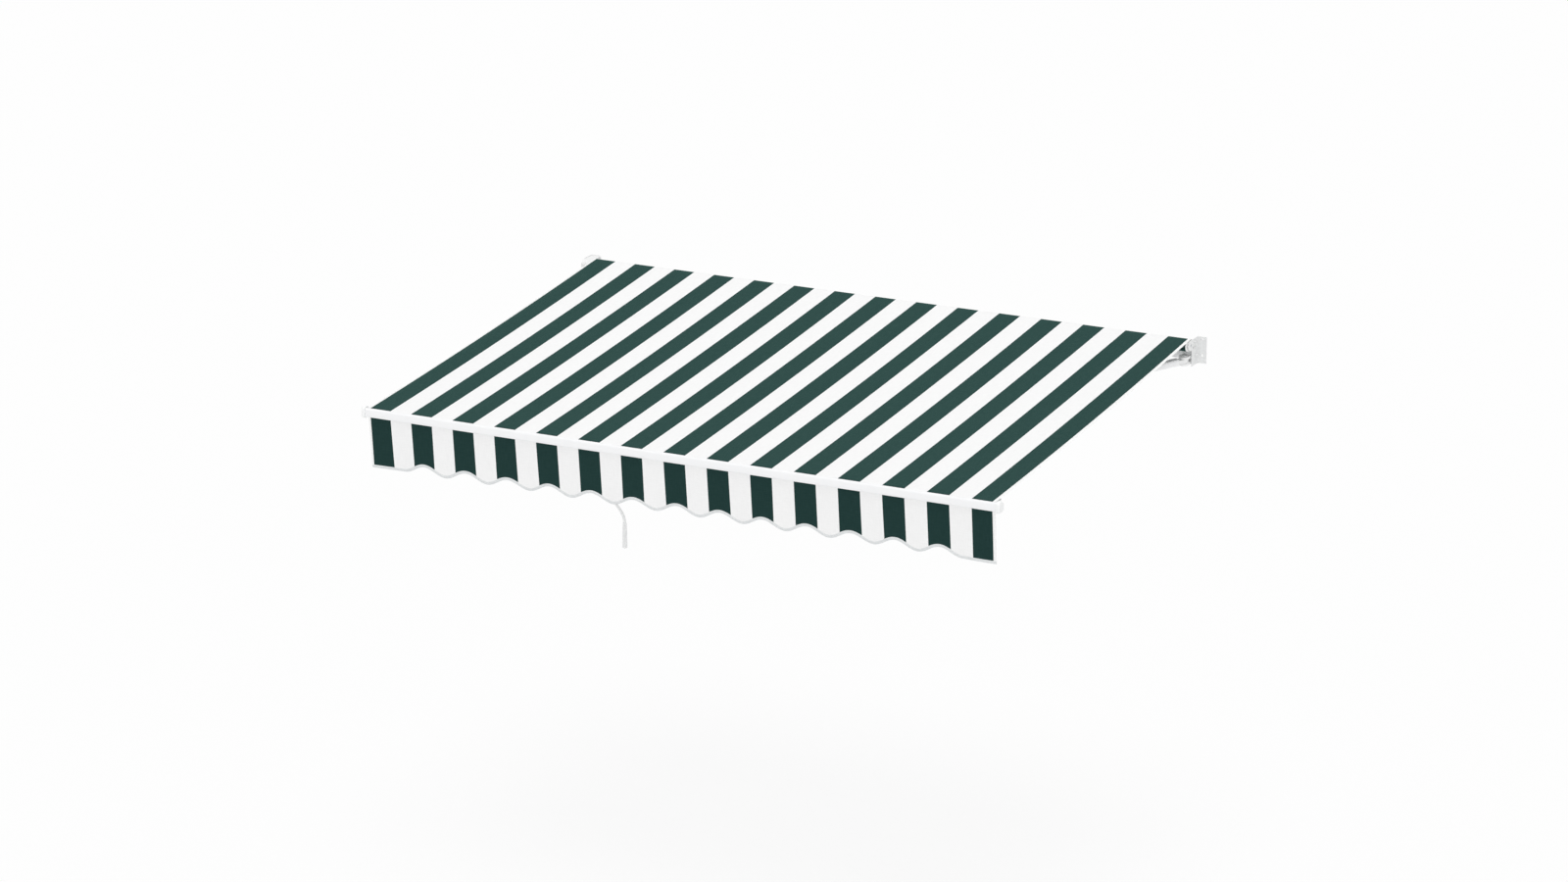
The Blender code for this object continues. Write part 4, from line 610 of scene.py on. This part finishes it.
def make_valance():
    """Hanging sheet with a bead in the lower groove, a wavy hem and a braid round three sides."""
    x = columns_across(SCALLOP_STEPS)
    bead = arc(VALANCE_GROOVE, BEAD_RADIUS - half_thick, -80 - BEAD_TURN, -80, BEAD_STEPS)
    share = np.linspace(0, 1, VALANCE_ROWS + 1)[:, None]
    bottom = VALANCE_BOTTOM + hem_height(x)
    z = VALANCE_TOP + (bottom[None] - VALANCE_TOP) * share
    points = np.empty((len(bead) + len(z), len(x), 3))
    points[..., 0] = x
    points[:len(bead), :, 1] = bead[:, None, 0]
    points[:len(bead), :, 2] = bead[:, None, 1]
    points[len(bead):, :, 1] = valance_y(x[None], z)
    points[len(bead):, :, 2] = z
    rows = len(points)
    flat_line = path_length(points[:, 0])
    top = flat_line[len(bead)]
    slant = math.hypot(1, VALANCE_LEAN / VALANCE_HEIGHT)
    depth = np.concatenate([np.broadcast_to(flat_line[:len(bead), None], (len(bead), len(x))),
                            top + (VALANCE_TOP - z) * slant])
    uv = np.stack(np.broadcast_arrays(x[None], depth), axis=-1)
    sheet = make_piece("valance_cloth", points, grid_faces(rows, len(x)).tolist(), [GREEN_CLOTH, WHITE_CLOTH],
                       uv, stripe_faces(x, rows), closed=False)
    thicken(sheet, CLOTH_THICKNESS)
    finish_piece(sheet, "front", "striped_cloth", "valance")
    lines = []
    for label, path, way_in, width, thickness, inset, finish in valance_edges():
        tangent = unit(np.gradient(path, axis=0))
        across = -width if label == "right" else width
        outward = valance_normal(path, across, HEM_TAPE_WIDTH)
        inward = unit(np.cross(outward, tangent))
        inward *= np.sign(inward[len(path) // 2] @ way_in)
        normal = np.cross(tangent, inward)
        normal *= -np.sign(normal[len(path) // 2, 1])
        tape = tape_piece("valance_braid_" + label, path, inward, normal, width, thickness, finish)
        finish_piece(tape, "front", "striped_cloth")
        seam = path + inward * (width - inset)
        lines.append((seam + normal * thickness / 2, normal))
        lines.append((seam - normal * thickness / 2, -normal))
    finish_piece(stitch_piece("valance_stitches", lines, THREAD), "front", "striped_cloth")


ROLL_TURNS = 8
ROLL_STEPS = 48


def make_roll():
    """Cloth left on the roller: a spiral strip that winds outward from the tube."""
    turns = np.linspace(0, ROLL_TURNS, ROLL_TURNS * ROLL_STEPS + 1)
    inner = ROLLER_RADIUS + GAP + half_thick / 2
    outer = ROLL_RADIUS - half_thick / 2
    radius = inner + (outer - inner) * turns / ROLL_TURNS
    angle = math.radians(leave_angle - WRAP_ANGLE) + 2 * math.pi * (turns - ROLL_TURNS)
    line = np.stack([ROLLER_Y + radius * np.cos(angle), ROLLER_Z + radius * np.sin(angle)], axis=1)
    x = np.clip(columns_across(1), -HALF_CLOTH, HALF_CLOTH)
    points = np.empty((len(line), len(x), 3))
    points[..., 0] = x
    points[..., 1:] = line[:, None]
    distance = path_length(line)
    uv = np.stack(np.broadcast_arrays(x[None], distance[:, None]), axis=-1)
    strip = make_piece("cloth_roll_turns", points, grid_faces(len(line), len(x)).tolist(),
                       [GREEN_CLOTH, WHITE_CLOTH], uv, stripe_faces(x, len(line)), closed=False)
    thicken(strip, CLOTH_THICKNESS / 2)
    finish_piece(strip, "roller", "striped_cloth", "cloth_roll")


# Front bar

def rounded_outline(corners, radii, grow, steps):
    """Round corners of a convex section, grown or shrunk by a distance: one arc of points for each corner."""
    corners = np.array(corners, float)
    rounds = []
    for index, radius in enumerate(radii):
        here = corners[index]
        before = corners[index - 1] - here
        after = corners[(index + 1) % len(corners)] - here
        before /= np.linalg.norm(before)
        after /= np.linalg.norm(after)
        half = math.acos(before @ after) / 2
        middle = (before + after) / np.linalg.norm(before + after)
        centre = here + middle * radius / math.sin(half)
        first = here + before * radius / math.tan(half) - centre
        last = here + after * radius / math.tan(half) - centre
        start = math.degrees(math.atan2(first[1], first[0]))
        sweep = (math.degrees(math.atan2(last[1], last[0])) - start + 180) % 360 - 180
        rounds.append(arc(centre, radius + grow, start, start + sweep, steps))
    return rounds


def front_corners(grow):
    """Round corners of the front bar's section: chin, heel, back, crest and nose."""
    back = FRONT_FACE + FRONT_DEPTH
    corners = [
        (FRONT_FACE, FRONT_BOTTOM), (back, FRONT_BOTTOM), (back, FRONT_BOTTOM + FRONT_BACK_HEIGHT),
        (FRONT_FACE + FRONT_TOP_DEPTH, FRONT_TOP), (FRONT_FACE, FRONT_TOP)]
    return rounded_outline(corners, FRONT_RADII, grow, CORNER_STEPS)


def make_front_bar():
    """Hollow extrusion with two round grooves: an outer and an inner outline carried along x."""
    half = GROOVE_MOUTH / 2
    mouth = math.degrees(math.asin(half / GROOVE_RADIUS))
    upper_y, upper_z = CANOPY_GROOVE
    lower_y = VALANCE_GROOVE[0]
    chin, heel, back, crest, nose = front_corners(0)
    lower = arc(VALANCE_GROOVE, GROOVE_RADIUS, 270 - mouth, -90 + mouth, GROOVE_STEPS)
    upper = arc(CANOPY_GROOVE, GROOVE_RADIUS, 90 - mouth, -270 + mouth, GROOVE_STEPS)
    outside = np.vstack([
        chin, [[lower_y - half, FRONT_BOTTOM]], lower, [[lower_y + half, FRONT_BOTTOM]],
        heel, back, crest, [[upper_y + half, FRONT_TOP]], upper, [[upper_y - half, FRONT_TOP]], nose])
    sleeve = GROOVE_RADIUS + GROOVE_WALL
    meet = math.degrees(math.asin((FRONT_TOP - upper_z - FRONT_WALL) / sleeve))
    chin, heel, back, crest, nose = front_corners(-FRONT_WALL)
    inside = np.vstack([
        chin, arc(VALANCE_GROOVE, sleeve, 180 + meet, -meet, GROOVE_STEPS + 2), heel, back, crest,
        arc(CANOPY_GROOVE, sleeve, meet, -180 - meet, GROOVE_STEPS + 2), nose])
    count = len(outside)
    loops = [(outside, -FRONT_HALF), (outside, FRONT_HALF), (inside, FRONT_HALF), (inside, -FRONT_HALF)]
    rings = np.stack([np.column_stack([np.full(count, x), loop]) for loop, x in loops])
    faces = grid_faces(4, count, across=True, along=True).tolist()
    bar = make_piece("front_bar_profile", rings, faces, [COATED_PROFILE])
    finish_piece(bar, "front", "white_extruded_aluminium", "front_bar")


# The cap's mouth is a little narrower than its lip, and its end face is sunk in two small steps
CAP_MOUTH = 0.0004
CAP_SINK = np.array([0.0004, 0.0006])
CAP_SINK_INSET = (-0.0022, -0.0040)


def make_front_cap(side):
    """End cap: the bar's outline grown by the lip, rounded over to a slightly sunk end face."""
    start = FRONT_HALF + GAP
    body = CAP_LENGTH - CAP_EDGE
    turn = np.linspace(0, math.pi / 2, CORNER_STEPS + 1)
    reach = np.concatenate([[0, body / 2], body + CAP_EDGE * np.sin(turn), CAP_LENGTH - CAP_SINK])
    over = CAP_LIP - CAP_EDGE * (1 - np.cos(turn))
    grow = np.concatenate([[CAP_LIP - CAP_MOUTH, CAP_LIP], over, CAP_SINK_INSET])
    rings = []
    for distance, step in zip(reach, grow):
        outline = np.vstack(front_corners(step))
        rings.append(np.column_stack([np.full(len(outline), side * (start + distance)), outline]))
    label = "left" if side < 0 else "right"
    cap = bar_piece("front_cap_" + label, np.stack(rings), WHITE_PLASTIC)
    finish_piece(cap, "front", "white_plastic", "front_bar_cap_" + label)


# Crank

CRANK_BEND_LEAD = 0.88
CRANK_TAIL = 0.020
CRANK_UPPER_POINTS = 24
CRANK_BEND_POINTS = 49
CRANK_LOWER_POINTS = 4
GRIP_POINTS = 97
GRIP_RIBS = 15
GRIP_RIB_HEIGHT = 0.0004
GRIP_RIBS_START = 0.12
GRIP_RIBS_END = 0.93
GRIP_ROUNDING = 0.004
GRIP_END_SHARE = 0.72


def crank_points(x, z):
    """Points of the crank's middle line, which keeps one distance from the wall."""
    return np.column_stack([x, np.full(len(x), WORM_Y), z])


def make_crank():
    """Bent tube, which moves aside by half a cosine on its way down, and a ribbed grip on its end."""
    rod_top = EYE_Z - EYE_RING_RADIUS - CRANK_HOOK_LENGTH
    grip_x = WORM_X + CRANK_THROW
    share = np.linspace(0, 1, CRANK_BEND_POINTS)
    bend_x = WORM_X + CRANK_THROW * (1 - np.cos(math.pi * share ** CRANK_BEND_LEAD)) / 2
    bend_z = CRANK_BEND_TOP + (CRANK_BEND_BOTTOM - CRANK_BEND_TOP) * share
    upper_z = np.linspace(rod_top, CRANK_BEND_TOP, CRANK_UPPER_POINTS + 1)[:-1]
    lower_z = np.linspace(CRANK_BEND_BOTTOM, CRANK_BEND_BOTTOM - CRANK_TAIL, CRANK_LOWER_POINTS + 1)[1:]
    x = np.concatenate([np.full(CRANK_UPPER_POINTS, WORM_X), bend_x, np.full(CRANK_LOWER_POINTS, grip_x)])
    path = crank_points(x, np.concatenate([upper_z, bend_z, lower_z]))
    rod = tube_piece("crank_tube", path, CRANK_ROD_RADIUS, CRANK_COAT_WITH_PAINTED_LIGHT)
    finish_piece(rod, "crank", "white_powder_coat", "crank_rod")
    level = np.linspace(0, 1, GRIP_POINTS)
    taper = CRANK_GRIP_TOP_RADIUS + (CRANK_GRIP_BOTTOM_RADIUS - CRANK_GRIP_TOP_RADIUS) * level
    ribbed = (level > GRIP_RIBS_START) & (level < GRIP_RIBS_END)
    ribs = GRIP_RIB_HEIGHT * np.sin(2 * math.pi * level * GRIP_RIBS) * ribbed
    ends = np.minimum(level, 1 - level) * CRANK_GRIP_LENGTH
    rounding = np.sqrt(np.clip(1 - (1 - np.clip(ends / GRIP_ROUNDING, 0, 1)) ** 2, 0, 1))
    radius = (taper + ribs) * (GRIP_END_SHARE + (1 - GRIP_END_SHARE) * rounding)
    radius = np.maximum(radius, CRANK_ROD_RADIUS + GAP)
    place = crank_points(np.full(GRIP_POINTS, grip_x), CRANK_BEND_BOTTOM - level * CRANK_GRIP_LENGTH)
    grip = tube_piece("crank_handle", place, radius, GRIP_PLASTIC_WITH_PAINTED_LIGHT)
    finish_piece(grip, "crank", "white_plastic", "crank_grip")


# CAD nodes that keep their own shape

def even_normals():
    """Node group that drops the flat normals of the frame's triangles and smooths all but its sharp edges."""
    group = bpy.data.node_groups.new("even_normals", 'GeometryNodeTree')
    group.interface.new_socket("Geometry", in_out='INPUT', socket_type='NodeSocketGeometry')
    group.interface.new_socket("Geometry", in_out='OUTPUT', socket_type='NodeSocketGeometry')
    start = add(group, 'NodeGroupInput')
    bare = add(group, 'GeometryNodeRemoveAttribute', {"Geometry": start.outputs[0], "Name": "custom_normal"})
    smooth = add(group, 'GeometryNodeSetShadeSmooth', {0: bare.outputs[0]})
    angle = add(group, 'GeometryNodeInputMeshEdgeAngle')
    sharp = add(group, 'FunctionNodeCompare', {0: angle.outputs[0], 1: SHARP_ANGLE}, operation='GREATER_THAN')
    edges = add(group, 'GeometryNodeSetShadeSmooth', {0: smooth.outputs[0], 1: sharp.outputs[0], 2: False},
                domain='EDGE')
    add(group, 'NodeGroupOutput', {0: edges.outputs[0]})
    return group


NORMALS = even_normals()
JOIN_DISTANCE = 0.00001
FLAT_ANGLE = math.radians(1)


def dress(name, finish, edge):
    """Gives a CAD node its finish, joined triangles, smooth curves and a small round on its edges."""
    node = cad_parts[name]
    for slot_index in range(len(node.data.materials)):
        node.data.materials[slot_index] = finish
    weld = node.modifiers.new("joined", 'WELD')
    weld.merge_threshold = JOIN_DISTANCE
    smooth = node.modifiers.new("even_normals", 'NODES')
    smooth.node_group = NORMALS
    flat = node.modifiers.new("flat_faces", 'DECIMATE')
    flat.decimate_type = 'DISSOLVE'
    flat.angle_limit = FLAT_ANGLE
    bevel = node.modifiers.new("soft_edges", 'BEVEL')
    bevel.width = edge
    bevel.segments = 2
    bevel.limit_method = 'ANGLE'
    bevel.angle_limit = SHARP_ANGLE
    bevel.harden_normals = True


def dress_frame():
    """Finish of every CAD node that shows its own shape."""
    kinds = (
        (COATED_STEEL, 0.0008, ("wall_bracket_", "bar_bolt_", "shoulder_pin_", "elbow_pin_", "wrist_pin_",
                                "bearing_bolt_", "gearbox_bolt_")),
        (COATED_PROFILE, 0.0004, ("torsion_bar", "upper_arm_", "forearm_left", "forearm_right")),
        (COATED_CASTING, 0.0012, ("shoulder_bracket_", "shoulder_knuckle_", "elbow_fork_", "elbow_knuckle_",
                                  "forearm_end_", "arm_connector_", "gearbox_", "roller_bearing")),
        (ZINC, 0.0005, ("clamp_", "bar_plug_", "arm_spring_", "elbow_cable_", "worm_shaft", "crank_hook",
                        "roller_idler_plug", "roller_drive_plug")),
        (GALVANISED, 0.0003, ("roller_tube",)),
        (BRASS, 0.0003, ("worm_wheel",)))
    done = set()
    for finish, edge, starts in kinds:
        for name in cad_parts:
            if name not in done and name.startswith(starts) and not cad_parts[name].hide_render:
                done.add(name)
                dress(name, finish, edge)


# Floor and light

FLOOR_Z = -2.6
FLOOR_REACH = 200.0
FLOOR_LINES = 5
FLOOR_GLOW = 0.88
SKY_STRENGTH = 0.67
# Each lamp's name and strength, then in degrees its softness, angle from straight above and turn to the right
LAMPS = (("key_lamp", 1.05, 35, 15, 20), ("fill_lamp", 0.60, 40, 80, 35))


def seen_directly(tree):
    """1 on rays that come from the camera, a mirror or a window, else 0."""
    ray = add(tree, 'ShaderNodeLightPath')
    either = add(tree, 'ShaderNodeMath', {0: ray.outputs["Is Camera Ray"], 1: ray.outputs["Is Glossy Ray"]},
                 operation='MAXIMUM')
    return add(tree, 'ShaderNodeMath', {0: either.outputs[0], 1: ray.outputs["Is Transmission Ray"]},
               operation='MAXIMUM').outputs[0]


def make_floor():
    """Wide pale floor that is almost white to the eye and keeps a faint shadow; open from below."""
    reach = np.linspace(-FLOOR_REACH, FLOOR_REACH, FLOOR_LINES)
    x, y = np.meshgrid(reach, reach, indexing='ij')
    points = np.stack([x, y, np.full_like(x, FLOOR_Z)], axis=-1)
    faces = grid_faces(FLOOR_LINES, FLOOR_LINES)[:, ::-1].tolist()
    material = bpy.data.materials.new("matt_white_floor")
    material.use_nodes = True
    tree = material.node_tree
    tree.nodes.clear()
    paint = add(tree, 'ShaderNodeBsdfDiffuse', {"Color": linear("#F2F2F2")})
    glow = add(tree, 'ShaderNodeEmission', {"Color": (1, 1, 1, 1), "Strength": 1.0})
    share = add(tree, 'ShaderNodeMath', {0: seen_directly(tree), 1: FLOOR_GLOW}, operation='MULTIPLY')
    above = add(tree, 'ShaderNodeMixShader', {0: share.outputs[0], 1: paint.outputs[0], 2: glow.outputs[0]})
    side = add(tree, 'ShaderNodeNewGeometry')
    clear = add(tree, 'ShaderNodeBsdfTransparent')
    both = add(tree, 'ShaderNodeMixShader',
               {0: side.outputs["Backfacing"], 1: above.outputs[0], 2: clear.outputs[0]})
    add(tree, 'ShaderNodeOutputMaterial', {"Surface": both.outputs[0]})
    floor = make_piece("floor", points, faces, [material], closed=False)


def make_light():
    """White sky all round, a soft lamp from above and a weaker one from the front at eye height."""
    world = bpy.data.worlds.new("studio")
    bpy.context.scene.world = world
    world.use_nodes = True
    tree = world.node_tree
    tree.nodes.clear()
    soft = add(tree, 'ShaderNodeBackground', {"Color": (1, 1, 1, 1), "Strength": SKY_STRENGTH})
    white = add(tree, 'ShaderNodeBackground', {"Color": (1, 1, 1, 1), "Strength": 1.0})
    both = add(tree, 'ShaderNodeMixShader', {0: seen_directly(tree), 1: soft.outputs[0], 2: white.outputs[0]})
    add(tree, 'ShaderNodeOutputWorld', {"Surface": both.outputs[0]})
    for name, energy, spread, from_zenith, from_front in LAMPS:
        lamp = bpy.data.lights.new(name, 'SUN')
        lamp.energy = energy
        lamp.angle = math.radians(spread)
        item = bpy.data.objects.new(name, lamp)
        item.rotation_euler = (math.radians(from_zenith), 0, math.radians(from_front))
        bpy.context.scene.collection.objects.link(item)


make_front_bar()
for side in (-1, 1):
    make_front_cap(side)
make_roll()
make_canopy()
make_valance()
make_crank()
dress_frame()
make_floor()
make_light()
